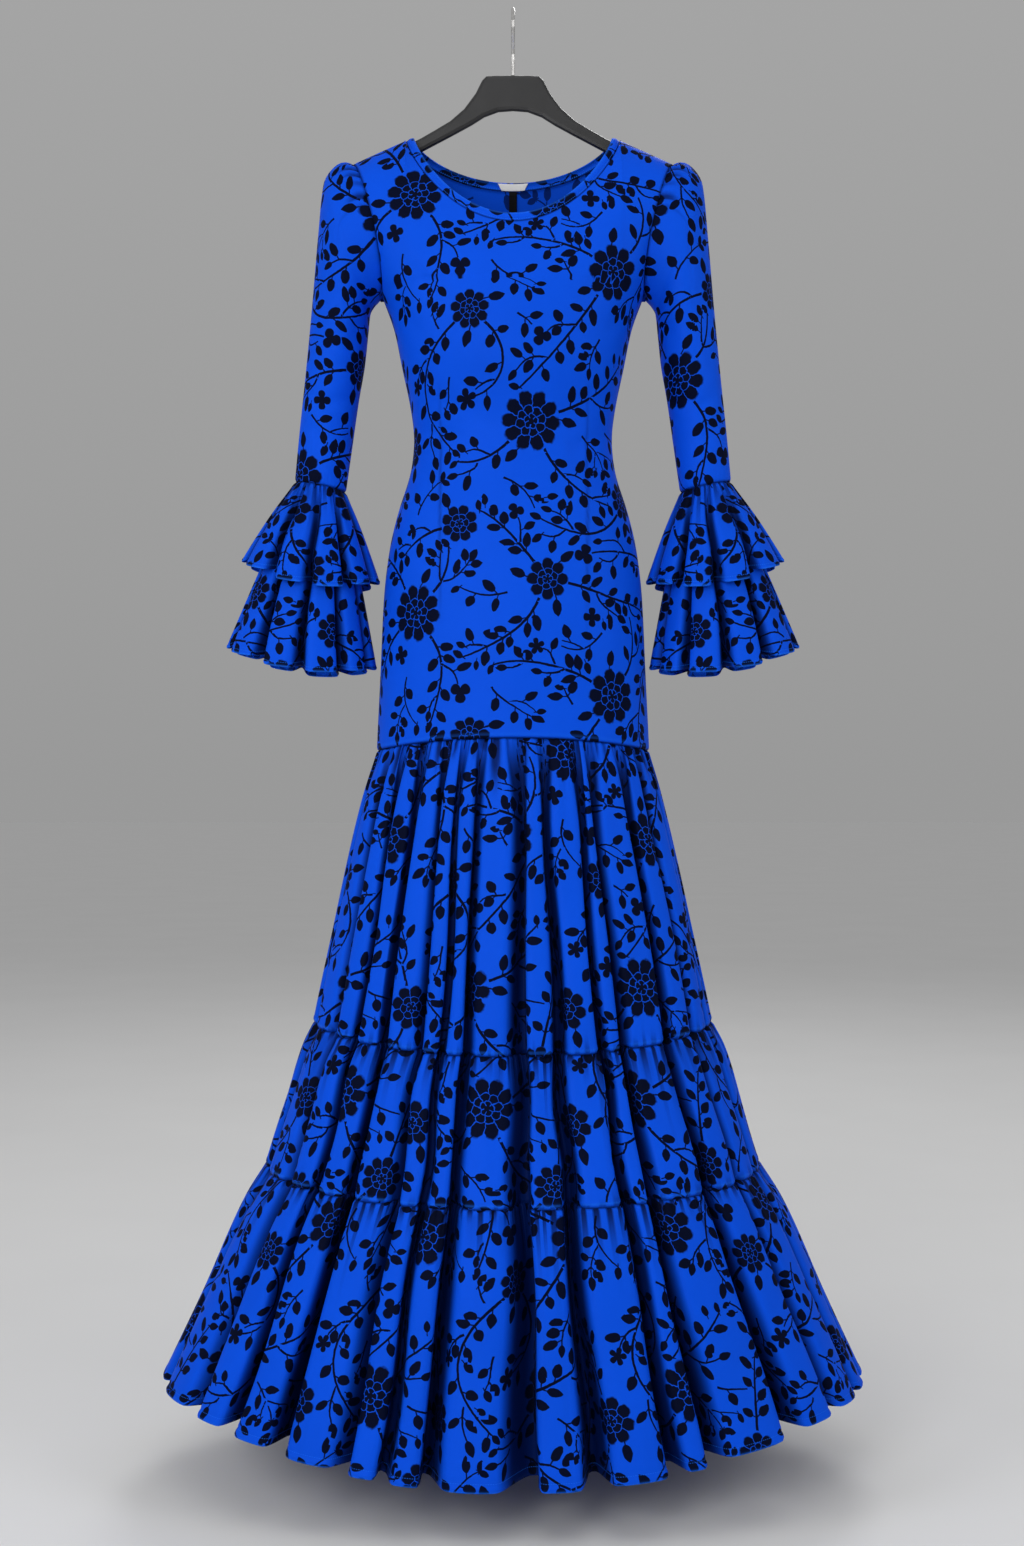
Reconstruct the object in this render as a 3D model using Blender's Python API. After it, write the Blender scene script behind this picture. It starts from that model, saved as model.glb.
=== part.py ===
"""Flamenco dress on a hanger, modelled piece by piece as it is cut and sewn.

World frame: metres, +Z up, +X to the viewer's right, the front of the dress towards -Y.  The origin is the
inside top of the hanger's hook, where it bears on a rail.  All the sizes below are in millimetres and become
metres in `add_mesh`.  Every piece of cloth is a closed wall between an outer skin of points and the same
points moved inwards.
"""
import math
from typing import NamedTuple

import bmesh
import bpy
import numpy as np
from mathutils import Matrix, Vector

MM = 0.001

# ---------------------------------------------------------------------------------------------------------
# Driving sizes, in millimetres
# ---------------------------------------------------------------------------------------------------------
CLOTH = 1.5             # wall of the dress cloth
RUFFLE_CLOTH = 1.2      # wall of the cuff ruffles
BINDING = 2.0           # folded neck binding
SEAM_GAP = 0.3          # between pieces that are sewn to each other
LAY_GAP = 0.3           # between a panel and what lies on it

FRONT, BACK = -1.0, 1.0
LEFT, RIGHT = -1.0, 1.0

SECTION_POWER = 2.2     # superellipse power of the body's level sections
HIP_RISE = 12.6         # how far the hip seam's centre lies above its sides
HIP_RISE_HEIGHT = 260.0

NECK_HALF_WIDTH = 113.9
NECK_Z = -144.8
NECK_DROP_FRONT = 107.5
NECK_DROP_BACK = 38.7
NECK_DEPTH_FRONT = 80.0
NECK_DEPTH_BACK = 45.0
NECK_POWER = 1.5        # shape of the neckline's fall towards its centre
NECK_ROUND_POWER = 0.9  # shape of the neckline seen from above
NECK_LEAN = 0.22        # how far the cloth leans outwards for each millimetre that it falls from the neck
NORMAL_STEP = 0.02      # share of the neckline over which its direction is taken
BAND_WIDTH = 10.0

SHOULDER_TIP_X = 184.0
SHOULDER_TIP_Z = -175.8
SHOULDER_COLUMN = 0.62  # column of a panel that ends where the shoulder seam meets the neck
SHOULDER_ROUND = 0.5    # power that arches the cloth over the hanger
NECK_ROUND_FROM = 0.55  # share of the neckline's half, from its middle, where that arch sets in
BOW_POWER = 4.0         # how fast the armhole's bow dies away towards the middle of a panel

UNDERARM_Z = -327.6
ARMHOLE_DEPTH = {FRONT: 54.0, BACK: 50.0}
ARMHOLE_BOW = {FRONT: 9.5, BACK: 6.0}

ZIP_HALF_WIDTH = 4.6
ZIP_THICK = 1.0
ZIP_TOP_Z = -200.0
ZIP_BOTTOM_Z = -756.0
LABEL_HALF_TOP = 18.0
LABEL_HALF_BOTTOM = 13.5
LABEL_TOP_DOWN = 2.0    # below the edge of the back neckline
LABEL_HEIGHT = 7.8
LABEL_THICK = 1.0
ZIP_BOW = 0.15          # the curve of the back falls this far from the flat tape at its edges

SLIDER_Z = -208.0
SLIDER_SIZE = (6.0, 2.6, 9.0)
EAR_THICK = 0.9
EAR_OUT = 3.2
EAR_SINK = 0.4          # the ears' roots lie this deep in the slider
EAR_RIM = 0.8           # metal round the pin in each ear
HINGE_OUT = 1.9         # from the slider's face to the pin's axis
PIN_RADIUS = 0.5
BARREL_BORE = 0.85
BARREL_RADIUS = 1.45
BARREL_HALF = 1.7
TAB_LENGTH = 22.0
TAB_THICK = 1.0
TAB_SPREAD = 1.45       # width of the tab's foot over that of its barrel
TAB_LEAN_DEG = 9.0      # how far the resting tab leans from parallel towards the cloth

FLARE_START_DEG = 188.0
BACK_DROP = 0.85        # the back hem's drop as a share of the front's


class BodyLevel(NamedTuple):
    """One level of the fitted body: its height, half width, and depth before and behind the side seams."""
    z: float
    half_width: float
    front: float
    back: float


BODY = (
    BodyLevel(-848.6, 156.4, 113.0, 113.0),
    BodyLevel(-756.0, 151.8, 113.0, 114.0),
    BodyLevel(-676.0, 148.2, 112.0, 114.0),
    BodyLevel(-618.6, 141.5, 107.0, 107.0),
    BodyLevel(-572.6, 130.5, 98.0, 95.0),
    BodyLevel(-526.6, 116.2, 89.0, 82.0),
    BodyLevel(-492.0, 113.2, 88.0, 80.0),
    BodyLevel(-457.6, 117.3, 98.0, 84.0),
    BodyLevel(-411.6, 127.1, 113.0, 91.0),
    BodyLevel(-365.0, 136.5, 115.0, 96.0),
    BodyLevel(UNDERARM_Z, 150.7, 108.0, 97.0),
)
ARMHOLE_DEG = (34, 58, 80, 100, 117, 131, 144, 157, 169, 180)  # from the underarm to the shoulder
UPPER_RISES = tuple((1.0 - math.cos(math.radians(angle))) / 2 for angle in ARMHOLE_DEG)
HALF_COLUMNS = (0.0, 0.125, 0.25, 0.375, 0.5, SHOULDER_COLUMN, 0.74, 0.87, 1.0)


class SkirtLevel(NamedTuple):
    """One ring of a tier: height and half width at its sides, depth and height at centre front, depth at
    centre back, depth of its flutes from ridge to valley, and the power by which it sags to the centre."""
    z_side: float
    half_width: float
    front: float
    z_front: float
    back: float
    flute: float
    sag: float


TIERS = {
    "skirt_tier_1": (
        SkirtLevel(-848.9, 156.4, 113.0, -836.3, 113.0, 2.4, 2.0),
        SkirtLevel(-892.0, 169.5, 121.5, -883.0, 121.0, 10.0, 2.0),
        SkirtLevel(-978.0, 190.0, 135.0, -979.0, 132.0, 20.0, 2.0),
        SkirtLevel(-1071.0, 210.0, 148.0, -1083.0, 143.0, 25.0, 2.0),
        SkirtLevel(-1158.7, 228.5, 160.0, -1178.7, 153.0, 25.0, 2.0),
    ),
    "skirt_tier_2": (
        SkirtLevel(-1159.0, 228.5, 160.0, -1179.0, 153.0, 25.0, 2.0),
        SkirtLevel(-1186.0, 241.5, 170.0, -1206.0, 162.0, 28.0, 2.0),
        SkirtLevel(-1249.0, 260.5, 190.0, -1268.0, 180.0, 30.0, 2.0),
        SkirtLevel(-1319.7, 282.9, 212.0, -1331.4, 199.0, 30.0, 2.0),
    ),
    "skirt_tier_3": (
        SkirtLevel(-1320.0, 282.9, 212.0, -1331.7, 199.0, 30.0, 2.0),
        SkirtLevel(-1362.0, 309.0, 226.0, -1386.0, 211.0, 36.0, 2.0),
        SkirtLevel(-1461.0, 353.5, 248.0, -1494.0, 230.0, 43.0, 2.7),
        SkirtLevel(-1559.3, 399.5, 270.0, -1607.8, 250.0, 48.0, 3.5),
    ),
}


class Flute(NamedTuple):
    """One fold of the skirt: its width as degrees of the ring, and its depth as a share of the tier's."""
    width: float
    depth: float


SKIRT_FLUTES = tuple(Flute(*row) for row in (
    # front, from the left side seam
    (19.5, 1.0), (19.0, 1.05), (11.5, 0.95), (11.5, 0.85), (12.0, 1.1), (7.0, 0.7), (6.5, 0.6), (12.0, 1.15),
    (9.5, 0.9), (13.5, 1.1), (5.0, 0.5), (18.5, 1.2), (13.0, 0.9), (12.5, 1.0), (9.0, 0.75), (16.0, 1.0),
    # back, from the right side seam
    (12.0, 0.95), (14.0, 1.1), (9.0, 0.8), (15.0, 1.15), (11.0, 0.9), (13.0, 1.0), (8.0, 0.7), (15.0, 1.1),
    (12.0, 0.95), (10.0, 0.85), (14.0, 1.05), (9.0, 0.8), (12.0, 1.0), (10.0, 0.85),
))
FLUTE_STEPS = (0.0, 0.17, 0.34, 0.5, 0.66, 0.83)     # points of each flute, as shares of its width
FLUTE_FLAT = 0.2        # how much broader the ridges are than the valleys

RUFFLE_FLUTES = tuple(Flute(*row) for row in (
    (50.0, 1.0), (40.0, 1.05), (44.0, 0.9), (48.0, 1.0), (46.0, 1.1), (42.0, 0.95), (47.0, 1.0), (43.0, 0.9),
))
RUFFLE_START_DEG = 205.0


class SleeveLevel(NamedTuple):
    """One ring of the right sleeve: its outer and inner points seen from the front, its half depths, and
    its share of the armhole's bow."""
    x_outer: float
    z_outer: float
    x_inner: float
    z_inner: float
    front: float
    back: float
    bow: float


SLEEVE = (
    SleeveLevel(184.0, -175.8, 150.7, -327.6, 54.0, 50.0, 1.0),
    SleeveLevel(196.6, -174.4, 155.0, -333.0, 54.0, 50.0, 0.6),
    SleeveLevel(209.3, -183.0, 160.0, -339.0, 54.0, 50.0, 0.3),
    SleeveLevel(217.6, -200.0, 164.0, -347.0, 53.0, 50.0, 0.0),
    SleeveLevel(223.5, -256.0, 166.5, -370.0, 49.0, 48.0, 0.0),
    SleeveLevel(231.0, -342.6, 170.0, -404.0, 43.0, 43.0, 0.0),
    SleeveLevel(239.0, -425.0, 177.5, -449.0, 37.0, 37.0, 0.0),
    SleeveLevel(245.5, -486.0, 185.0, -502.0, 32.0, 32.0, 0.0),
    SleeveLevel(250.7, -540.4, 192.0, -552.0, 29.0, 29.0, 0.0),
)
CAP_GATHER_FROM_DEG = 110.0      # the cap's gathers begin this far round from the underarm
CAP_GATHER_DEPTH = 2.6
CAP_GATHER_FADE = (0.0, 1.0, 0.8, 0.35)


class RuffleLevel(NamedTuple):
    """One ring of the right cuff's ruffle: centre, half width as a vector, half depth, drop at the front and
    back, and the depth of its flutes."""
    x: float
    z: float
    half_x: float
    half_z: float
    depth: float
    drop: float
    flute: float


RUFFLES = {
    "cuff_ruffle_upper": (
        RuffleLevel(221.4, -546.5, 29.4, 5.8, 29.0, 0.0, 1.6),
        RuffleLevel(226.4, -590.0, 53.5, 9.2, 44.0, 8.0, 10.0),
        RuffleLevel(232.4, -644.4, 79.9, 12.6, 62.0, 19.0, 21.0),
    ),
    "cuff_ruffle_lower": (
        RuffleLevel(221.4, -546.5, 27.7, 5.5, 27.3, 0.0, 1.4),
        RuffleLevel(231.5, -641.0, 55.5, 8.8, 45.0, 7.0, 13.0),
        RuffleLevel(243.0, -743.6, 86.5, 12.3, 66.0, 16.0, 23.0),
    ),
}

HANGER_THICK = 10.0
HANGER_ROUND = 4.0
HANGER_UNDER_SEAM = 5.0         # the arms' top edge below the shoulder seam
HANGER_ARM_X = (122.0, 145.0, 167.0)    # points of the arms' top edge along the shoulder seam
HANGER_TIP = ((173.0, 8.0), (166.0, 15.5))  # points round the arm's end: x, and depth below the last of them
WIRE_RADIUS = 2.2
HOOK_INSIDE_RADIUS = 17.0
HANGER_TOP = ((0.0, -73.5), (20.0, -73.5), (30.5, -74.0), (35.5, -79.0), (43.0, -94.0), (56.0, -111.5),
              (72.0, -125.5), (90.0, -136.3), (106.0, -145.5))
HANGER_UNDER = ((140.0, -176.0), (108.0, -162.5), (70.0, -142.5), (48.0, -130.5), (33.0, -121.0),
                (17.0, -115.0), (0.0, -113.7))
HOOK_ARC_DEG = (-25, 0, 20, 40, 55, 70, 80, 90, 100, 110, 125, 140, 160, 180, 200, 220)
HOOK_STEM = ((-8.0, -37.0), (-3.0, -43.0), (-0.6, -49.0), (0.0, -55.0), (0.0, -73.2))


class Finish(NamedTuple):
    """Plain look of a piece."""
    color: tuple
    roughness: float
    metallic: float = 0.0


BLUE_CREPE = Finish((0.004, 0.075, 0.72), 0.6)
BLACK_TAPE = Finish((0.01, 0.01, 0.012), 0.7)
BLACK_LACQUER = Finish((0.012, 0.012, 0.013), 0.45)
WHITE_SATIN = Finish((0.8, 0.8, 0.78), 0.5)
STEEL = Finish((0.62, 0.62, 0.63), 0.25, 1.0)


# ---------------------------------------------------------------------------------------------------------
# Scene helpers
# ---------------------------------------------------------------------------------------------------------
def clear_scene() -> None:
    """Remove every object of the open file."""
    for old in list(bpy.data.objects):
        bpy.data.objects.remove(old, do_unlink=True)


def collection(name: str) -> bpy.types.Collection:
    """Return a new collection linked to the scene."""
    made = bpy.data.collections.new(name)
    bpy.context.scene.collection.children.link(made)
    return made


def material(name: str, finish: Finish) -> bpy.types.Material:
    """Return a Principled material of the piece's own."""
    made = bpy.data.materials.new(name)
    made.use_nodes = True
    shader = made.node_tree.nodes["Principled BSDF"]
    shader.inputs["Base Color"].default_value = (*finish.color, 1.0)
    shader.inputs["Roughness"].default_value = finish.roughness
    shader.inputs["Metallic"].default_value = finish.metallic
    return made


def add_mesh(name: str, points: list, faces: list, finish: Finish) -> None:
    """Build a closed mesh from points in millimetres."""
    mesh = bpy.data.meshes.new(name)
    mesh.from_pydata([tuple(MM * value for value in point) for point in points], [], faces)
    shape = bmesh.new()
    shape.from_mesh(mesh)
    bmesh.ops.recalc_face_normals(shape, faces=shape.faces)
    shape.to_mesh(mesh)
    shape.free()
    mesh.shade_smooth()
    mesh.set_sharp_from_angle(angle=math.radians(50))
    mesh.materials.append(material(name, finish))
    PARTS.objects.link(bpy.data.objects.new(name, mesh))


# ---------------------------------------------------------------------------------------------------------
# Walls of cloth
# ---------------------------------------------------------------------------------------------------------
class Sewn(NamedTuple):
    """A stretch of a grid's edge that is sewn, and the axis that its normals must not lean along, so that
    the walls on both sides of the seam stay parallel."""
    rows: object
    columns: object
    axis: int


def inward_normals(skin: np.ndarray, closed: bool, seams: tuple) -> np.ndarray:
    """Return unit normals of a grid of points whose rows run down and whose columns run so that they
    point inwards."""
    if closed:
        across = np.roll(skin, -1, axis=1) - np.roll(skin, 1, axis=1)
    else:
        across = np.gradient(skin, axis=1)
    normals = np.cross(across, np.gradient(skin, axis=0))
    normals /= np.linalg.norm(normals, axis=2, keepdims=True)
    for seam in seams:
        normals[seam.rows, seam.columns, seam.axis] = 0.0
    return normals / np.linalg.norm(normals, axis=2, keepdims=True)


def moved_in(skin: np.ndarray, distance: float, closed: bool, seams: tuple = ()) -> np.ndarray:
    """Return the skin moved inwards."""
    return skin + distance * inward_normals(skin, closed, seams)


def add_wall(name: str, outer: np.ndarray, inner: np.ndarray, closed: bool, finish: Finish) -> None:
    """Join two matching skins into one closed wall, cut into triangles the same way on both."""
    rows, columns = outer.shape[:2]
    points = np.concatenate([outer.reshape(-1, 3), inner.reshape(-1, 3)]).tolist()
    shift = rows * columns
    faces = []
    spans = columns if closed else columns - 1
    for row in range(rows - 1):
        for column in range(spans):
            after = (column + 1) % columns
            a, b = row * columns + column, row * columns + after
            c, d = a + columns, b + columns
            for first, second, third in ((a, b, d), (a, d, c)):
                faces.append((first, second, third))
                faces.append((third + shift, second + shift, first + shift))
    border = []
    for column in range(spans):
        after = (column + 1) % columns
        border.append((column, after))
        border.append(((rows - 1) * columns + after, (rows - 1) * columns + column))
    if not closed:
        for row in range(rows - 1):
            border.append(((row + 1) * columns, row * columns))
            border.append((row * columns + columns - 1, (row + 1) * columns + columns - 1))
    for a, b in border:
        faces.append((b, a, a + shift))
        faces.append((b, a + shift, b + shift))
    add_mesh(name, points, faces, finish)


# ---------------------------------------------------------------------------------------------------------
# The fitted body
# ---------------------------------------------------------------------------------------------------------
def power(value: float, exponent: float) -> float:
    """Raise a value that may have rounded below zero."""
    return max(value, 0.0) ** exponent


def beside_slit(face: float, x: float, column: float) -> float:
    """Return a signed x that keeps the two halves of the back apart at the centre."""
    least = SEAM_GAP / 2 if face == BACK else 0.0
    return math.copysign(max(abs(x), least), column)


def level_point(level: BodyLevel, face: float, column: float, rise: float) -> np.ndarray:
    """Return a point of a level section; `column` runs from -1 at the left side seam to 1 at the right."""
    angle = abs(column) * math.pi / 2
    share = 2.0 / SECTION_POWER
    x = beside_slit(face, level.half_width * power(math.sin(angle), share), column)
    depth = level.front if face == FRONT else level.back
    y = face * max(depth * power(math.cos(angle), share), SEAM_GAP / 2)
    return np.array((x, y, level.z + rise * math.cos(angle) ** 2))


def neck_point(face: float, share: float, grow: float) -> np.ndarray:
    """Return a point of the neckline, or of the same line `grow` further out on the cloth.

    `share` runs from -1 at the left shoulder to 1 at the right.
    """
    angle = abs(share) * math.pi / 2
    drop = NECK_DROP_FRONT if face == FRONT else NECK_DROP_BACK
    depth = NECK_DEPTH_FRONT if face == FRONT else NECK_DEPTH_BACK
    slope = (SHOULDER_TIP_Z - NECK_Z) / (SHOULDER_TIP_X - NECK_HALF_WIDTH)
    reach = NECK_HALF_WIDTH + grow * math.cos(math.atan(slope))
    shoulder_z = NECK_Z + grow * math.sin(math.atan(slope))
    centre_z = NECK_Z - drop - grow
    centre_depth = depth + NECK_LEAN * grow
    x = math.copysign(reach * math.sin(angle), share)
    z = shoulder_z + (centre_z - shoulder_z) * power(math.cos(angle), NECK_POWER)
    y = face * max(centre_depth * power(math.cos(angle), NECK_ROUND_POWER), SEAM_GAP / 2)
    return np.array((x, y, z))


def neck_inward(face: float, share: float) -> np.ndarray:
    """Return the unit normal that the binding and the panel's edge share, pointing inwards."""
    ends = max(-1.0, share - NORMAL_STEP), min(1.0, share + NORMAL_STEP)
    across = neck_point(face, ends[1], BAND_WIDTH) - neck_point(face, ends[0], BAND_WIDTH)
    along = neck_point(face, share, BAND_WIDTH) - neck_point(face, share, 0.0)
    normal = -face * np.cross(across, along)
    if abs(share) == 1.0:
        normal[1] = 0.0
    return normal / np.linalg.norm(normal)


def top_point(face: float, column: float) -> np.ndarray:
    """Return a panel's top edge: the neckline below the binding, then the shoulder seam."""
    inside = abs(column) / SHOULDER_COLUMN
    if inside <= 1.0:
        point = neck_point(face, math.copysign(inside, column), BAND_WIDTH + SEAM_GAP)
        point[0] = beside_slit(face, point[0], column)
        return point
    start = neck_point(face, 1.0, BAND_WIDTH + SEAM_GAP)
    share = (abs(column) - SHOULDER_COLUMN) / (1.0 - SHOULDER_COLUMN)
    x = start[0] + (SHOULDER_TIP_X - start[0]) * share
    z = start[2] + (SHOULDER_TIP_Z - start[2]) * share
    return np.array((math.copysign(x, column), face * SEAM_GAP / 2, z))


def upper_point(face: float, column: float, rise: float) -> np.ndarray:
    """Return a point of the panel above the underarm.

    Its depth runs from the underarm level's section to the armhole's own depth at the edge, and arches to
    nothing over the shoulder seam.
    """
    low = level_point(BODY[-1], face, column, 0.0)
    top = top_point(face, column)
    point = low + (top - low) * rise
    centre = abs(level_point(BODY[-1], face, 0.0, 0.0)[1])
    edge = 2.0 * ARMHOLE_DEPTH[face] * math.sqrt(rise)
    across = math.cos(abs(column) * math.pi / 2)
    base = edge + (centre - edge) * power(across, 2.0 / SECTION_POWER)
    shoulder = min(1.0, max(0.0, (abs(column) / SHOULDER_COLUMN - NECK_ROUND_FROM) / (1.0 - NECK_ROUND_FROM)))
    exponent = 1.0 - (1.0 - SHOULDER_ROUND) * shoulder
    point[1] = top[1] + (face * base - top[1]) * power(1.0 - rise, exponent)
    bow = ARMHOLE_BOW[face] * 2.0 * math.sqrt(rise * (1.0 - rise))
    point[0] -= math.copysign(bow * abs(column) ** BOW_POWER, column)
    return point


def body_rows(face: float, columns: tuple) -> np.ndarray:
    """Return a panel's outer skin from the neck and shoulder down to the hip seam."""
    rows = [[upper_point(face, column, rise) for column in columns] for rise in reversed(UPPER_RISES)]
    for level in reversed(BODY):
        rise = HIP_RISE * max(0.0, 1.0 - (level.z - BODY[0].z) / HIP_RISE_HEIGHT)
        rows.append([level_point(level, face, column, rise) for column in columns])
    return np.array(rows)


def panel_skin(face: float, columns: tuple) -> np.ndarray:
    """Return a panel's outer skin with its columns in the order that `inward_normals` needs."""
    skin = body_rows(face, columns)
    return skin if face == FRONT else skin[:, ::-1]


def panel_seams(face: float, columns: tuple) -> tuple:
    """Return the seams of a panel: shoulders, hip, side seams and the zip's slit."""
    ordered = columns if face == FRONT else columns[::-1]
    shoulders = [index for index, column in enumerate(ordered) if abs(column) >= SHOULDER_COLUMN]
    seams = [Sewn(0, shoulders, 1), Sewn(-1, slice(None), 2)]
    below_armhole = slice(len(UPPER_RISES), None)
    for index in (0, len(ordered) - 1):
        if abs(ordered[index]) == 1.0:
            seams.append(Sewn(below_armhole, index, 1))
        elif face == BACK:
            seams.append(Sewn(slice(None), index, 0))
    return tuple(seams)


def add_panel(name: str, face: float, columns: tuple) -> None:
    """Add one panel of the body."""
    skin = panel_skin(face, columns)
    inner = moved_in(skin, CLOTH, False, panel_seams(face, columns))
    ordered = columns if face == FRONT else columns[::-1]
    for index, column in enumerate(ordered):
        share = column / SHOULDER_COLUMN
        if abs(share) <= 1.0:
            inward = neck_inward(face, share)
            if column == 0.0 and face == BACK:
                inward[0] = 0.0
            inner[0, index] = skin[0, index] + CLOTH * inward
    add_wall(name, skin, inner, False, BLUE_CREPE)


def build_body() -> None:
    """Add the front and the two halves of the back, parted at the centre by the zip's slit."""
    left = tuple(-column for column in reversed(HALF_COLUMNS))
    add_panel("bodice_front", FRONT, left[:-1] + HALF_COLUMNS)
    add_panel("bodice_back_L", BACK, left)
    add_panel("bodice_back_R", BACK, HALF_COLUMNS)


def build_neck_binding() -> None:
    """Add the turned band all round the neckline, from the left shoulder over the front."""
    half = [column / SHOULDER_COLUMN for column in HALF_COLUMNS if column <= SHOULDER_COLUMN]
    shares = [-share for share in reversed(half)] + half[1:-1]
    stations = [(FRONT, share) for share in shares] + [(BACK, -share) for share in shares]
    grows = (0.0, BAND_WIDTH / 2, BAND_WIDTH)
    skin = np.array([[neck_point(face, share, grow) for face, share in stations] for grow in grows])
    skin[:, (0, len(shares)), 1] = 0.0
    inward = np.array([neck_inward(face, share) for face, share in stations])
    add_wall("neck_binding", skin, skin + BINDING * inward, True, BLUE_CREPE)


def back_centre_line() -> list:
    """Return the points of the back's centre line, from the binding down to the hip seam."""
    return [np.array((0.0, *point[1:])) for point in body_rows(BACK, (0.0,))[:, 0]]


def back_centre_point(z: float) -> np.ndarray:
    """Return the point of the back's centre line at a height; it carries on straight above the panel."""
    line = back_centre_line()
    for upper, lower in zip(line, line[1:]):
        if z >= lower[2]:
            break
    return lower + (upper - lower) * (z - lower[2]) / (upper[2] - lower[2])


def build_zip_tape() -> None:
    """Add the zip's tape on the inside of the back, from the centre line's points moved in."""
    levels = [point[2] for point in back_centre_line() if ZIP_BOTTOM_Z < point[2] < UNDERARM_Z + 1.0]
    rows = []
    for z in [ZIP_TOP_Z] + levels + [ZIP_BOTTOM_Z]:
        centre = back_centre_point(z)
        rows.append([centre + np.array((side * ZIP_HALF_WIDTH, 0.0, 0.0)) for side in (RIGHT, LEFT)])
    skin = np.array(rows)
    lift = CLOTH + LAY_GAP + ZIP_BOW
    outer, inner = moved_in(skin, lift, False), moved_in(skin, lift + ZIP_THICK, False)
    add_wall("zip_tape", outer, inner, False, BLACK_TAPE)


def build_label() -> None:
    """Add the blank label on the inside of the binding at the centre of the back."""
    beside = HALF_COLUMNS[1] / SHOULDER_COLUMN
    rows = []
    edges = ((LABEL_TOP_DOWN, LABEL_HALF_TOP), (LABEL_TOP_DOWN + LABEL_HEIGHT, LABEL_HALF_BOTTOM))
    for grow, half_width in edges:
        middle = neck_point(BACK, 0.0, grow) + (BINDING + LAY_GAP) * neck_inward(BACK, 0.0)
        side = neck_point(BACK, beside, grow) + (BINDING + LAY_GAP) * neck_inward(BACK, beside)
        end = middle + (side - middle) * half_width / side[0]
        rows.append([end, middle, end * np.array((-1.0, 1.0, 1.0))])
    skin = np.array(rows)
    add_wall("neck_label", skin, moved_in(skin, LABEL_THICK, False), False, WHITE_SATIN)


# ---------------------------------------------------------------------------------------------------------
# Sleeves and ruffles
# ---------------------------------------------------------------------------------------------------------
def sleeve_angles() -> list:
    """Return ring angles in degrees, from 0 at the underarm over the front to 180 at the shoulder and back."""
    return [0, *ARMHOLE_DEG] + [360 - angle for angle in reversed(ARMHOLE_DEG[:-1])]


def sleeve_ring(level: SleeveLevel, angles: list) -> list:
    """Return one ring of the right sleeve."""
    half = np.array((level.x_outer - level.x_inner, level.z_outer - level.z_inner)) / 2
    centre = np.array((level.x_outer + level.x_inner, level.z_outer + level.z_inner)) / 2
    ring = []
    for angle in angles:
        face = FRONT if angle < 180 else BACK
        depth = level.front if face == FRONT else level.back
        flat = centre - half * math.cos(math.radians(angle))
        turn = abs(math.sin(math.radians(angle)))
        bow = level.bow * ARMHOLE_BOW[face] * turn
        ring.append(np.array((flat[0] - bow, face * depth * turn, flat[1])))
    return ring


def gather_cap(skin: np.ndarray, angles: list) -> np.ndarray:
    """Push every second point over the cap inwards on the rings just below the armhole seam."""
    normals = inward_normals(skin, True, ())
    for row, share in enumerate(CAP_GATHER_FADE):
        for index, angle in enumerate(angles):
            if index % 2 == 0 and CAP_GATHER_FROM_DEG < angle < 360 - CAP_GATHER_FROM_DEG:
                skin[row, index] += share * CAP_GATHER_DEPTH * normals[row, index]
    return skin


def add_on_both_sides(name: str, skin: np.ndarray, thickness: float, seams: tuple) -> None:
    """Add a tube of the right side and its mirror image on the left."""
    inner = moved_in(skin, thickness, True, seams)
    flip = np.array((-1.0, 1.0, 1.0))
    add_wall(f"{name}_R", skin, inner, True, BLUE_CREPE)
    add_wall(f"{name}_L", (skin * flip)[:, ::-1], (inner * flip)[:, ::-1], True, BLUE_CREPE)


def build_sleeves() -> None:
    """Add both sleeves, from the armhole to the cuff seam."""
    angles = sleeve_angles()
    skin = np.array([sleeve_ring(level, angles) for level in SLEEVE])
    skin[0, :, 0] += SEAM_GAP
    skin = gather_cap(skin, angles)
    add_on_both_sides("sleeve", skin, CLOTH, (Sewn(0, slice(None), 0),))


def flute_stations(flutes: tuple, start_deg: float) -> list:
    """Return (angle in radians, cut) for each point round a fluted ring.

    The cut runs from 0 on a ridge to the flute's own depth share in a valley.
    """
    stations = []
    angle = start_deg
    for before, flute in zip((flutes[-1],) + flutes[:-1], flutes):
        for step in FLUTE_STEPS:
            turn = 2 * math.pi * step
            valley = (1.0 - FLUTE_FLAT + math.cos(turn) + FLUTE_FLAT * math.cos(2 * turn)) / 2
            depth = flute.depth if step else (before.depth + flute.depth) / 2
            stations.append((math.radians(angle - flute.width * step), depth * valley))
        angle -= flute.width
    return stations


def build_ruffles() -> None:
    """Add the two ruffles of each cuff."""
    stations = flute_stations(RUFFLE_FLUTES, RUFFLE_START_DEG)
    for name, levels in RUFFLES.items():
        rows = []
        for level in levels:
            ring = []
            for angle, cut in stations:
                cosine, sine = math.cos(angle), math.sin(angle)
                out = Vector((cosine / level.half_x, -sine / level.depth)).normalized()
                inset = cut * level.flute
                x = level.x + level.half_x * cosine - out.x * inset
                y = -level.depth * sine - out.y * inset
                drop = level.drop * sine * sine
                ring.append((x, y, level.z + level.half_z * cosine - drop))
            rows.append(ring)
        add_on_both_sides(name, np.array(rows), RUFFLE_CLOTH, (Sewn(0, slice(None), 2),))


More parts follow.
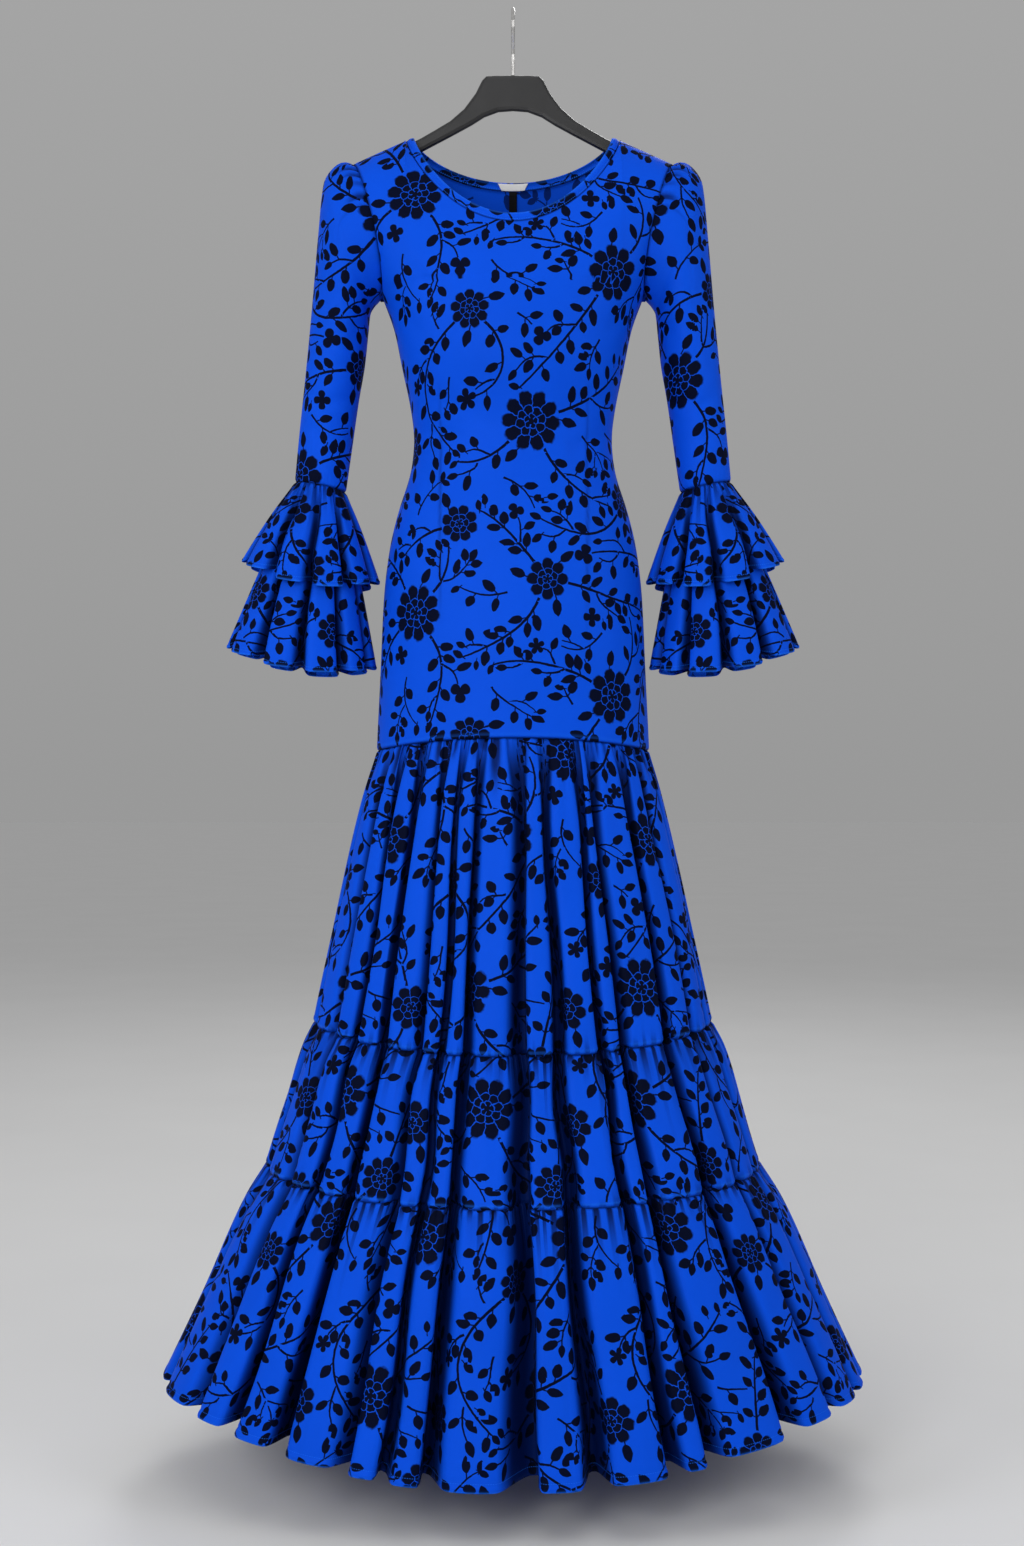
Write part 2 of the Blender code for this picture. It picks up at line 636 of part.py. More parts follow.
# ---------------------------------------------------------------------------------------------------------
# Skirt
# ---------------------------------------------------------------------------------------------------------
def skirt_ring(level: SkirtLevel, stations: list) -> list:
    """Return one ring of the skirt, from the left side over the front to the right and round the back."""
    ring = []
    for angle, cut in stations:
        cosine, sine = math.cos(angle), math.sin(angle)
        front = sine > 0.0
        depth = level.front if front else level.back
        out = Vector((cosine / level.half_width, -sine / depth)).normalized()
        inset = cut * level.flute
        fall = level.z_front - level.z_side
        if fall < 0.0 and not front:
            fall *= BACK_DROP
        share = 2.0 / SECTION_POWER
        x = math.copysign(level.half_width * abs(cosine) ** share, cosine) - out.x * inset
        y = -math.copysign(depth * abs(sine) ** share, sine) - out.y * inset
        ring.append((x, y, level.z_side + fall * abs(sine) ** level.sag))
    return ring


def build_skirt() -> None:
    """Add the three gathered tiers."""
    stations = flute_stations(SKIRT_FLUTES, FLARE_START_DEG)
    for name, levels in TIERS.items():
        skin = np.array([skirt_ring(level, stations) for level in levels])
        seams = (Sewn(0, slice(None), 2), Sewn(-1, slice(None), 2))
        add_wall(name, skin, moved_in(skin, CLOTH, True, seams), True, BLUE_CREPE)


# ---------------------------------------------------------------------------------------------------------
# Zip slider and pull tab
# ---------------------------------------------------------------------------------------------------------
def primitive_box(name: str, size: tuple, centre: tuple) -> bpy.types.Object:
    """Return a box in millimetres about a centre, as a mesh in metres with its origin at (0, 0, 0)."""
    shape = bmesh.new()
    scale = Matrix.Diagonal([MM * value for value in size] + [1.0])
    place = Matrix.Translation([MM * value for value in centre]) @ scale
    bmesh.ops.create_cube(shape, size=1.0, matrix=place)
    return mesh_object(name, shape)


def primitive_rod(name: str, radius: float, length: float, centre: tuple, sides: int) -> bpy.types.Object:
    """Return a cylinder along X."""
    shape = bmesh.new()
    place = Matrix.Translation([MM * value for value in centre]) @ Matrix.Rotation(math.radians(90), 4, "Y")
    bmesh.ops.create_cone(shape, cap_ends=True, segments=sides, radius1=MM * radius, radius2=MM * radius,
                          depth=MM * length, matrix=place)
    return mesh_object(name, shape)


def mesh_object(name: str, shape: bmesh.types.BMesh) -> bpy.types.Object:
    """Turn a bmesh into an object that is not linked yet."""
    mesh = bpy.data.meshes.new(name)
    shape.to_mesh(mesh)
    shape.free()
    return bpy.data.objects.new(name, mesh)


def combine(base: bpy.types.Object, other: bpy.types.Object, operation: str) -> None:
    """Join a helper to a piece, or cut it from the piece, with a Boolean modifier."""
    CUTTERS.objects.link(other)
    other.hide_render = True
    other.display_type = "WIRE"
    other.parent = base
    step = base.modifiers.new(other.name, "BOOLEAN")
    step.operation = operation
    step.object = other


def hang_piece(piece: bpy.types.Object, finish: Finish, place: tuple, tilt: float) -> None:
    """Link a hard piece, tilted about X at its place in millimetres."""
    piece.data.materials.append(material(piece.name, finish))
    piece.location = [MM * value for value in place]
    piece.rotation_euler = (tilt, 0.0, 0.0)
    PARTS.objects.link(piece)


def build_zip_pull() -> None:
    """Add the slider, seated on the outside of the back, and the pull tab on its pin."""
    seat = back_centre_point(SLIDER_Z)
    fall = back_centre_point(SLIDER_Z - 10.0) - seat
    tilt = math.atan2(fall[1], -fall[2])
    out = np.array((0.0, math.cos(tilt), math.sin(tilt)))

    width, thick, height = SLIDER_SIZE
    face = LAY_GAP + thick
    slider = primitive_box("zip_slider", SLIDER_SIZE, (0.0, LAY_GAP + thick / 2, 0.0))
    hang_piece(slider, BLACK_LACQUER, tuple(seat), tilt)
    ear_x = BARREL_HALF + SEAM_GAP + EAR_THICK / 2
    for side, label in ((LEFT, "L"), (RIGHT, "R")):
        size = (EAR_THICK, EAR_OUT, 2 * (PIN_RADIUS + EAR_RIM))
        ear = primitive_box(f"slider_ear_{label}", size, (side * ear_x, face + EAR_OUT / 2 - EAR_SINK, 0.0))
        combine(slider, ear, "UNION")
    pin = primitive_rod("slider_pin", PIN_RADIUS, 2 * ear_x, (0.0, face + HINGE_OUT, 0.0), 12)
    combine(slider, pin, "UNION")

    hinge = seat + out * (face + HINGE_OUT)
    tab = primitive_rod("zip_pull_tab", BARREL_RADIUS, 2 * BARREL_HALF, (0.0, 0.0, 0.0), 16)
    hang_piece(tab, BLACK_LACQUER, tuple(hinge), tilt - math.radians(TAB_LEAN_DEG))
    plate_top = -(BARREL_BORE + BARREL_RADIUS) / 2
    plate_height = TAB_LENGTH + plate_top
    plate = primitive_box("tab_plate", (2 * BARREL_HALF, TAB_THICK, plate_height),
                          (0.0, 0.0, plate_top - plate_height / 2))
    for corner in plate.data.vertices:
        if corner.co.z < -MM * TAB_LENGTH / 2:
            corner.co.x *= TAB_SPREAD
    combine(tab, plate, "UNION")
    bore = primitive_rod("tab_bore", BARREL_BORE, 3 * BARREL_HALF, (0.0, 0.0, 0.0), 16)
    combine(tab, bore, "DIFFERENCE")


# ---------------------------------------------------------------------------------------------------------
# Hanger
# ---------------------------------------------------------------------------------------------------------
def shoulder_line_z(x: float) -> float:
    """Return the height of the shoulder seam at a distance from the middle."""
    return NECK_Z + (x - NECK_HALF_WIDTH) * (SHOULDER_TIP_Z - NECK_Z) / (SHOULDER_TIP_X - NECK_HALF_WIDTH)


def build_hanger() -> None:
    """Add the contoured hanger as a flat outline with rounded edges, and its wire hook."""
    arm = [(x, shoulder_line_z(x) - HANGER_UNDER_SEAM) for x in HANGER_ARM_X]
    tip = [(x, arm[-1][1] - down) for x, down in HANGER_TIP]
    half = list(HANGER_TOP) + arm + tip + list(HANGER_UNDER)
    outline = half + [(-x, z) for x, z in reversed(half) if x > 0.0]
    curve = bpy.data.curves.new("hanger_body", "CURVE")
    curve.dimensions = "2D"
    curve.fill_mode = "BOTH"
    curve.resolution_u = 1
    curve.extrude = MM * (HANGER_THICK / 2 - HANGER_ROUND)
    curve.bevel_depth = MM * HANGER_ROUND
    curve.bevel_resolution = 1
    curve.offset = -MM * HANGER_ROUND
    spline = curve.splines.new("BEZIER")
    spline.bezier_points.add(len(outline) - 1)
    spline.use_cyclic_u = True
    for knot, (x, z) in zip(spline.bezier_points, outline):
        knot.co = (MM * x, MM * z, 0.0)
        knot.handle_left_type = "AUTO"
        knot.handle_right_type = "AUTO"
    curve.materials.append(material("hanger_body", BLACK_LACQUER))
    body = bpy.data.objects.new("hanger_body", curve)
    body.rotation_euler = (math.radians(90), 0.0, 0.0)
    PARTS.objects.link(body)


def build_hook() -> None:
    """Add the hook: up from the hanger, forward round the rail's place and over it, open at the back."""
    radius = HOOK_INSIDE_RADIUS + WIRE_RADIUS
    centre_z = -HOOK_INSIDE_RADIUS
    route = []
    for degrees in HOOK_ARC_DEG:
        angle = math.radians(degrees)
        route.append((radius * math.cos(angle), centre_z + radius * math.sin(angle)))
    route += list(HOOK_STEM)
    curve = bpy.data.curves.new("hanger_hook", "CURVE")
    curve.dimensions = "3D"
    curve.bevel_depth = MM * WIRE_RADIUS
    curve.bevel_resolution = 2
    curve.use_fill_caps = True
    spline = curve.splines.new("POLY")
    spline.points.add(len(route) - 1)
    for knot, (y, z) in zip(spline.points, route):
        knot.co = (0.0, MM * y, MM * z, 1.0)
    curve.materials.append(material("hanger_hook", STEEL))
    PARTS.objects.link(bpy.data.objects.new("hanger_hook", curve))


clear_scene()
PARTS = collection("flamenco_dress")
CUTTERS = collection("helpers")
build_body()
build_neck_binding()
build_zip_tape()
build_label()
build_sleeves()
build_ruffles()
build_skirt()
build_zip_pull()
build_hanger()
build_hook()
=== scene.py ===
"""Flamenco dress of printed crepe on a hanger: every piece cut, gathered, sewn and finished.

World frame: metres, +Z up, +X to the viewer's right, the front of the dress towards -Y, and the origin inside
the top of the hanger's hook.  The sizes in the tables are millimetres, as on a maker's pattern; they become
metres when a mesh is made.  Cloth is laid out as grids of points whose rows run down the garment.
"""
from __future__ import annotations

import logging
import math
from dataclasses import dataclass, field, replace
from enum import Enum
from typing import Callable, ClassVar, NamedTuple, Optional, Sequence, Union

import bpy
import numpy as np
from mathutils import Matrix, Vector
from mathutils.kdtree import KDTree


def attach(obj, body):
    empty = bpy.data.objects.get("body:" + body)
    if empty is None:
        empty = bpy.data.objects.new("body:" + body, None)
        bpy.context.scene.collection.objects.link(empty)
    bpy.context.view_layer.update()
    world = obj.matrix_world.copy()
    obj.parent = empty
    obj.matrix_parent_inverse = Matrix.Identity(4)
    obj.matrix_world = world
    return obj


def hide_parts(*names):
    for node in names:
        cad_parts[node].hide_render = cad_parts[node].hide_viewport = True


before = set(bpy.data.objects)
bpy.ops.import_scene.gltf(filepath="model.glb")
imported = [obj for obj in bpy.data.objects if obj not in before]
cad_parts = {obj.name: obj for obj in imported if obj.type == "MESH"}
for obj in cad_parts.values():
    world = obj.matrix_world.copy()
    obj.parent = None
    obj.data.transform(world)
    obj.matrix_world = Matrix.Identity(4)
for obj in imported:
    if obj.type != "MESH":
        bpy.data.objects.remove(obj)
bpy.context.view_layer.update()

MM = 0.001
DRESS = "dress"
REPORT = logging.getLogger("flamenco_dress")
# A distance that is out of every seam's and every stitch's reach
FAR = 99.0


class Face(Enum):
    """Front or back of the garment, as the sign of Y."""

    FRONT = -1.0
    BACK = 1.0


class Side(Enum):
    """Left or right of the garment as the viewer sees it, as the sign of X."""

    LEFT = -1.0
    RIGHT = 1.0

    @property
    def letter(self) -> str:
        """Return the letter that ends the names of this side's pieces."""
        return "L" if self is Side.LEFT else "R"


# ---- Numbers ----
def power(value: np.ndarray, exponent: float) -> np.ndarray:
    """Raise values that may have rounded below zero."""
    return np.maximum(value, 0.0) ** exponent


def smooth(value: np.ndarray) -> np.ndarray:
    """Ease values from 0 to 1 between 0 and 1."""
    share = np.clip(value, 0.0, 1.0)
    return share * share * (3.0 - 2.0 * share)


def eased(knots: np.ndarray, table: np.ndarray, at: np.ndarray) -> np.ndarray:
    """Follow a table's rows smoothly, without swinging past them.

    Args:
        knots: The rising place of each row of the table.
        table: One row of sizes for each knot.
        at: The places to read.

    Returns:
        One row of sizes for each place.
    """
    spans = np.diff(knots)[:, None]
    slopes = np.diff(table, axis=0) / spans
    product = slopes[:-1] * slopes[1:]
    total = np.where(np.abs(slopes[:-1] + slopes[1:]) > 1e-9, slopes[:-1] + slopes[1:], 1.0)
    middle = np.where(product > 0.0, 2.0 * product / total, 0.0)
    tangents = np.vstack([slopes[:1], middle, slopes[-1:]])
    index = np.clip(np.searchsorted(knots, at, side="right") - 1, 0, len(spans) - 1)
    span = spans[index]
    share = (at[:, None] - knots[index][:, None]) / span
    square, cube = share * share, share ** 3
    return ((2 * cube - 3 * square + 1) * table[index] + (cube - 2 * square + share) * span * tangents[index]
            + (3 * square - 2 * cube) * table[index + 1] + (cube - square) * span * tangents[index + 1])


def row_places(length: float, spacing: float, near: Sequence[float]) -> np.ndarray:
    """Space rows evenly, with closer ones by both ends.

    Args:
        length: Distance from the first row to the last.
        spacing: Even distance between the rows away from the ends.
        near: Rising distances from each end of the rows close to it.

    Returns:
        The rising distances of all the rows.
    """
    inner = length - 2 * near[-1]
    count = max(2, round(inner / spacing))
    even = near[-1] + inner * np.arange(1, count) / count
    return np.concatenate([near, even, length - np.array(near)[::-1]])


def records(kind: Callable, *rows: tuple) -> tuple:
    """Return records of one kind from rows of their sizes."""
    return tuple(kind(*row) for row in rows)


def closed(grid: np.ndarray) -> np.ndarray:
    """Return the columns of a ring with the first one again at the end."""
    return np.concatenate([grid, grid[:, :1]], axis=1)


def run_along(points: np.ndarray, axis: int) -> np.ndarray:
    """Return the distance covered from the first point along an axis of a grid."""
    steps = np.linalg.norm(np.diff(points, axis=axis), axis=2)
    start = np.zeros_like(np.take(steps, [0], axis=axis))
    return np.concatenate([start, np.cumsum(steps, axis=axis)], axis=axis)


# ---- Cloth ----
@dataclass
class Cloth:
    """A grid of cloth: its outer skin, and where each of its points lay on the printed cloth.

    Attributes:
        points: Rows of points in millimetres.
        flat: The same points on the flat cloth, in millimetres; a tube has one column more than points.
        tube: Whether the last column joins the first.
        hem: Distance of each row from a stitched edge, or None where there is none.
        gathers: How many fine gathers its gathered seam has.
        seams: Distance of each row from a gathered seam, and the share of its gathers that show, or None.
        hollow: Painted shade by how deep each point lies between folds, from 0 to 1, and less than
        nothing where a painted highlight lies on an edge that catches the light; None where all of it is
        plain.
    """

    points: np.ndarray
    flat: np.ndarray = field(default_factory=lambda: np.zeros((1, 1, 2)))
    tube: bool = True
    hem: Optional[np.ndarray] = None
    gathers: int = 0
    seams: Optional[np.ndarray] = None
    hollow: Optional[np.ndarray] = None

    def gathering(self, corners: np.ndarray) -> np.ndarray:
        """Return where each face corner lies among the fine gathers of a seam.

        Args:
            corners: Indices of the face corners on the flat grid.

        Returns:
            For each corner its place among the gathers, its distance from the seam, and how far they show.
        """
        if self.seams is None:
            return np.zeros(corners.shape + (3,)) + np.array((0.5, FAR, 0.0))
        random = np.random.default_rng(self.gathers)
        edges = np.concatenate([[0.0], np.cumsum(random.uniform(0.55, 1.45, self.gathers))])
        around = run_along(closed(self.points[1:2]), 1)[0]
        place = np.interp(around / around[-1], edges / edges[-1], np.arange(self.gathers + 1))
        values = np.stack(np.broadcast_arrays(place[None], self.seams[:, :1], self.seams[:, 1:]), axis=2)
        return values.reshape(-1, 3)[corners]

    def shade(self, depth: np.ndarray) -> None:
        """Keep painted shade for how deep points lie between folds or in a seam, where it is deeper than
        before.
        """
        depth = np.clip(depth, 0.0, 1.0)
        self.hollow = depth if self.hollow is None else np.maximum(self.hollow, depth)

    def light(self, amount: np.ndarray) -> None:
        """Add a painted highlight where a rolled edge would catch the light and doesn't lie between folds."""
        hollow = np.zeros(self.points.shape[:2]) if self.hollow is None else self.hollow
        self.hollow = hollow - amount * (1.0 - hollow)

    def hollows(self, corners: np.ndarray) -> np.ndarray:
        """Return the painted shade of each face corner, or its painted highlight where it catches the light.
        """
        if self.hollow is None:
            return np.zeros(corners.shape)
        return (closed(self.hollow) if self.tube else self.hollow).ravel()[corners]

    def inward(self) -> np.ndarray:
        """Return the unit normal of each point that leads into the garment."""
        if self.tube:
            across = np.roll(self.points, -1, axis=1) - np.roll(self.points, 1, axis=1)
        else:
            across = np.gradient(self.points, axis=1)
        normals = np.cross(across, np.gradient(self.points, axis=0))
        return normals / np.maximum(np.linalg.norm(normals, axis=2, keepdims=True), 1e-9)

    def press(self, depth: np.ndarray) -> None:
        """Push the cloth inwards by a depth for each point."""
        self.points = self.points + depth[..., None] * self.inward()

    def relax(self, passes: int) -> None:
        """Even the cloth out down its columns in some passes, and leave all four edges where they are."""
        for _ in range(passes):
            middle = (self.points[:-2, 1:-1] + self.points[2:, 1:-1]) / 2
            self.points[1:-1, 1:-1] = (self.points[1:-1, 1:-1] + middle) / 2

    def allow(self, first: bool, reach: float, depth: float, axis: int = 0) -> None:
        """Add a line of points beyond an edge, as a seam allowance that turns to the inside.

        Args:
            first: Whether it goes before the first line.
            reach: How far it reaches beyond the edge.
            depth: How far it turns in.
            axis: 0 for a row at the top or the bottom, 1 for a column at a side.
        """
        edge, beside, sign = (0, 1, -1.0) if first else (-1, -2, 1.0)

        def extended(grid: Optional[np.ndarray], change: object = 0.0) -> Optional[np.ndarray]:
            """Return a grid with its edge repeated and changed, or None where there is no grid."""
            if grid is None:
                return None
            line = np.take(grid, [edge], axis=axis) + change
            return np.concatenate([line, grid] if first else [grid, line], axis=axis)

        away = np.take(self.points, [edge], axis=axis) - np.take(self.points, [beside], axis=axis)
        away /= np.linalg.norm(away, axis=2, keepdims=True)
        across, down = (sign * (reach + depth), 0.0) if axis else (0.0, sign * reach)
        inward = np.take(self.inward(), [edge], axis=axis)
        self.points = extended(self.points, reach * away + depth * inward)
        self.flat, self.hem = extended(self.flat, (across, down)), extended(self.hem, -down)
        self.seams, self.hollow = extended(self.seams), extended(self.hollow)

    def size(self) -> tuple[float, float]:
        """Return the flat cloth's width and length in metres."""
        spread = self.flat.reshape(-1, 2).max(axis=0) - self.flat.reshape(-1, 2).min(axis=0)
        return float(spread[0] * MM), float(spread[1] * MM)

    def area(self) -> float:
        """Return the area of the cloth's skin in square metres."""
        points = closed(self.points) if self.tube else self.points
        one = points[1:, 1:] - points[:-1, :-1]
        other = points[1:, :-1] - points[:-1, 1:]
        return float(np.linalg.norm(np.cross(one, other), axis=2).sum() / 2 * MM * MM)


def shell_faces(rows: int, columns: int, tube: bool) -> tuple[np.ndarray, np.ndarray]:
    """Return the quads of a thin shell on a grid, wound to face out: its outer skin, inner skin and rim.

    Args:
        rows: Rows of the grid.
        columns: Columns of points.
        tube: Whether the last column joins the first.

    Returns:
        Two arrays of four indices a face: of the points, the outer skin's first, and of the flat grid.
    """
    spans = columns if tube else columns - 1
    down, along = np.arange(rows - 1), np.arange(spans)
    row, column = (axis.ravel() for axis in np.meshgrid(down, along, indexing="ij"))
    skin = ((row, column), (row + 1, column), (row + 1, column + 1), (row, column + 1))
    edges = [((0, along), (0, along + 1)), ((rows - 1, along + 1), (rows - 1, along))]
    if not tube:
        edges += [((down + 1, 0), (down, 0)), ((down, spans), (down + 1, spans))]

    def indices(wide: int, inner: int) -> np.ndarray:
        """Return the faces on a grid of such width whose inner skin's indices lie so much higher."""
        outer, *rims = (np.stack([line * wide + place % wide for line, place in places], axis=-1)
                        for places in (skin, *edges))
        return np.concatenate([outer, outer[:, ::-1] + inner,
                               *(np.concatenate([rim, rim[:, ::-1] + inner], axis=1) for rim in rims)])

    return indices(columns, rows * columns), indices(spans + 1, 0)


def new_piece(name: str, points: np.ndarray, faces: Sequence[Sequence[int]]) -> bpy.types.Object:
    """Link a smooth mesh made from points in millimetres, and from the point indices of its faces."""
    mesh = bpy.data.meshes.new(name)
    mesh.from_pydata((np.asarray(points, float).reshape(-1, 3) * MM).tolist(), [], faces)
    mesh.shade_smooth()
    piece = bpy.data.objects.new(name, mesh)
    bpy.context.scene.collection.objects.link(piece)
    return piece


def corner_field(mesh: bpy.types.Mesh, name: str, values: np.ndarray) -> None:
    """Store three numbers for each face corner under a name that the materials read."""
    made = mesh.attributes.new(name, "FLOAT_VECTOR", "CORNER")
    made.data.foreach_set("vector", np.ascontiguousarray(values, np.float32).ravel())


# ---- The print ----
class Flower(NamedTuple):
    """A flower of the print: its centre and radius, its outer petals and its turn."""

    x: float
    y: float
    radius: float
    petals: int
    turn: float


class Leaf(NamedTuple):
    """A leaf as it is printed: its foot, heading, length, half width and how pointed it is."""

    x: float
    y: float
    heading: float
    length: float
    half: float
    point: float


class Stem(NamedTuple):
    """A short straight run of stem, with its half width and whether the stem starts or ends there."""

    x0: float
    y0: float
    x1: float
    y1: float
    half: float
    starts: bool
    ends: bool


# The large flowers, with their turns in degrees
BLOOMS = tuple(Flower(*sizes, math.radians(turn)) for *sizes, turn in (
    (62.0, 58.0, 33.0, 10, 8.0), (214.0, 22.0, 24.0, 8, 0.0), (292.0, 150.0, 32.0, 9, 21.0),
    (128.0, 196.0, 23.0, 9, 30.0), (34.0, 336.0, 25.0, 8, 12.0), (196.0, 316.0, 34.0, 10, 3.0),
    (322.0, 398.0, 24.0, 9, 40.0), (116.0, 430.0, 22.0, 8, 18.0),
))

# Length of a leaf's stalk as a share of the leaf's own
STALK = 0.3


def ahead(x: float, y: float, heading: float, distance: float) -> tuple[float, float]:
    """Return the place that lies at a distance in a direction."""
    return x + distance * math.cos(heading), y + distance * math.sin(heading)


def along_and_across(places: np.ndarray, cosine: np.ndarray,
                     sine: np.ndarray) -> tuple[np.ndarray, np.ndarray]:
    """Return how far places lie along a direction and how far beside it."""
    x, y = places[..., 0], places[..., 1]
    return x * cosine + y * sine, y * cosine - x * sine


def stacked(*values: np.ndarray) -> np.ndarray:
    """Return three numbers for each corner of each face, from grids of them or one number a face."""
    return np.stack(np.broadcast_arrays(*values), axis=2)


@dataclass
class PrintRepeat:
    """The repeat of the printed cloth: blooms joined by leafy vines that grow into the free space.

    Attributes:
        width: Width of the repeat.
        height: Its height.
        seed: Seed of the vines' wandering.
        cell: Size of the cells in which the nearest motif is looked up.
    """

    width: float = 360.0
    height: float = 470.0
    seed: int = 7
    cell: float = 1.25
    flowers: list[Flower] = field(default_factory=list)
    leaves: tuple[list[Leaf], list[Leaf]] = field(default_factory=lambda: ([], []))
    stems: list[Stem] = field(default_factory=list)

    def __post_init__(self) -> None:
        """Plant the blooms, grow the vines and chart what lies nearest to each place."""
        self.random = np.random.default_rng(self.seed)
        self.discs = np.zeros((9000, 3))
        self.count = 0
        self.flowers += BLOOMS
        for bloom in BLOOMS:
            self.take(bloom.x, bloom.y, bloom.radius * 0.98)
        for bloom in BLOOMS:
            self.grow_from(bloom)
        self.fill()
        self.chart()

    def take(self, x: float, y: float, radius: float) -> None:
        """Keep a round place for what is printed there."""
        self.discs[self.count] = x, y, radius
        self.count += 1

    def free(self, x: float, y: float, radius: float) -> bool:
        """Tell whether a round place is still bare, across the repeat's edges too."""
        used = self.discs[:self.count]
        across = np.abs(used[:, 0] - x) % self.width
        down = np.abs(used[:, 1] - y) % self.height
        across = np.minimum(across, self.width - across)
        down = np.minimum(down, self.height - down)
        return bool(np.all(np.hypot(across, down) > used[:, 2] + radius))

    def add_flower(self, x: float, y: float, radius: float, petals: int) -> bool:
        """Print a small flower if its place is bare, and tell whether it was."""
        if not self.free(x, y, radius * 0.86):
            return False
        self.flowers.append(Flower(x, y, radius, petals, self.random.uniform(0.0, math.tau)))
        self.take(x, y, radius * 0.92)
        return True

    def add_leaf(self, leaf: Leaf, side: int) -> bool:
        """Print a leaf if its place is bare, and tell whether it was."""
        spots = [ahead(leaf.x, leaf.y, leaf.heading, share * leaf.length) for share in (0.25, 0.55, 0.88)]
        if not self.free(*spots[1], leaf.half * 0.75) or not self.free(*spots[2], leaf.half * 0.45):
            return False
        self.leaves[side].append(leaf)
        for spot, share in zip(spots, (0.5, 1.0, 0.6)):
            self.take(*spot, leaf.half * share)
        return True

    def side_leaf(self, x: float, y: float, heading: float, side: int) -> bool:
        """Print a leaf that leaves a stem to one side."""
        turned = heading + (1.0 if side else -1.0) * math.radians(self.random.uniform(36.0, 66.0))
        length = self.random.uniform(13.0, 18.5)
        leaf = Leaf(*ahead(x, y, turned, STALK * length), turned, length,
                    self.random.uniform(4.4, 5.9), float(self.random.choice((0.5, 0.62, 0.75, 0.9))))
        return self.add_leaf(leaf, side)

    def trace(self, x: float, y: float, heading: float, length: float, curl: float) -> list:
        """Trace a stem in short steps until it is long enough or would run into something.

        Args:
            x: Where it starts across the repeat.
            y: Where it starts down the repeat.
            heading: Its first direction.
            length: The length that it may reach.
            curl: How far it turns on the way, in degrees.

        Returns:
            The places with their headings.
        """
        step = 5.0
        path = [(x, y, heading)]
        count = int(length / step)
        phase = self.random.uniform(0.0, math.tau)
        wave = self.random.uniform(-70.0, 70.0)
        for index in range(count):
            heading += math.radians(curl + wave * math.cos(phase + math.tau * index / count)) / count
            x, y = ahead(x, y, heading, step)
            if not self.free(x, y, 3.2):
                break
            path.append((x, y, heading))
        return path

    def lay_stem(self, path: list, half: float) -> None:
        """Print a traced stem, which grows thinner."""
        count = len(path) - 1
        for index in range(count):
            thin = half * (1.0 - 0.35 * index / count)
            ends = *path[index][:2], *path[index + 1][:2]
            self.stems.append(Stem(*ends, thin, index == 0, index == count - 1))
        for x, y, _ in path[1:]:
            self.take(x, y, 1.6)

    def end_stem(self, x: float, y: float, heading: float) -> bool:
        """Put a small flower or a spray of leaves on the end of a stem, and tell whether it had room."""
        if self.random.random() < 0.5:
            radius = self.random.uniform(9.5, 13.0)
            if self.add_flower(*ahead(x, y, heading, 0.8 * radius), radius, int(self.random.integers(3, 6))):
                return True
        size = self.random.uniform(0.8, 1.1)
        spread = math.radians(self.random.uniform(44.0, 58.0))
        middle = self.add_leaf(Leaf(x, y, heading, 16.0 * size, 4.6 * size, 0.8), 0)
        for index, turn in enumerate((-spread, spread)):
            self.add_leaf(Leaf(x, y, heading + turn, 13.0 * size, 4.2 * size, 0.7), index)
        return middle

    def sprig(self, x: float, y: float, heading: float, length: float, curl: float, half: float,
              twigs: bool) -> bool:
        """Grow a stem with leaves on both sides, twigs, and something on its end.

        Args:
            x: Where it starts across the repeat.
            y: Where it starts down the repeat.
            heading: Its first direction.
            length: The length that it may reach.
            curl: How far it turns on the way, in degrees.
            half: Half its width at the start.
            twigs: Whether it has twigs of its own.

        Returns:
            Whether there was room for it.
        """
        path = self.trace(x, y, heading, length, curl)
        if len(path) < 4:
            return False
        ended = self.end_stem(*path[-1])
        shares = () if not twigs else (0.34, 0.7) if length > 90.0 else (0.5,)
        places = [int(share * (len(path) - 1)) for share in shares]
        side = int(self.random.integers(0, 2))
        jobs = []
        at = 2.0 + self.random.uniform(0.0, 1.0)
        while at < len(path) - 1:
            jobs.append((int(at), side))
            if self.random.random() < 0.42:
                jobs.append((int(at), 1 - side))
            side = 1 - side
            at += self.random.uniform(1.8, 2.8)
        if not twigs and not ended:
            room = [job for job in jobs if self.side_leaf(*path[job[0]], job[1])]
            if not room:
                return False
            jobs = []
        self.lay_stem(path, half)
        for index, turn_side in jobs:
            near_twig = any(abs(index - place) <= 1 for place in places)
            if not (near_twig and self.twig(*path[index], turn_side, half * 0.8)):
                self.side_leaf(*path[index], turn_side)
        return True

    def twig(self, x: float, y: float, heading: float, side: int, half: float) -> bool:
        """Grow a short twig from a stem to one side, and tell whether there was room."""
        sign = 1.0 if side else -1.0
        turned = heading + sign * math.radians(self.random.uniform(38.0, 58.0))
        start = ahead(x, y, turned, 5.5)
        if not self.free(*start, 1.5):
            return False
        curl = -sign * self.random.uniform(20.0, 70.0)
        if not self.sprig(*start, turned, self.random.uniform(22.0, 40.0), curl, half, False):
            return False
        self.stems.append(Stem(x, y, *start, half, True, False))
        return True

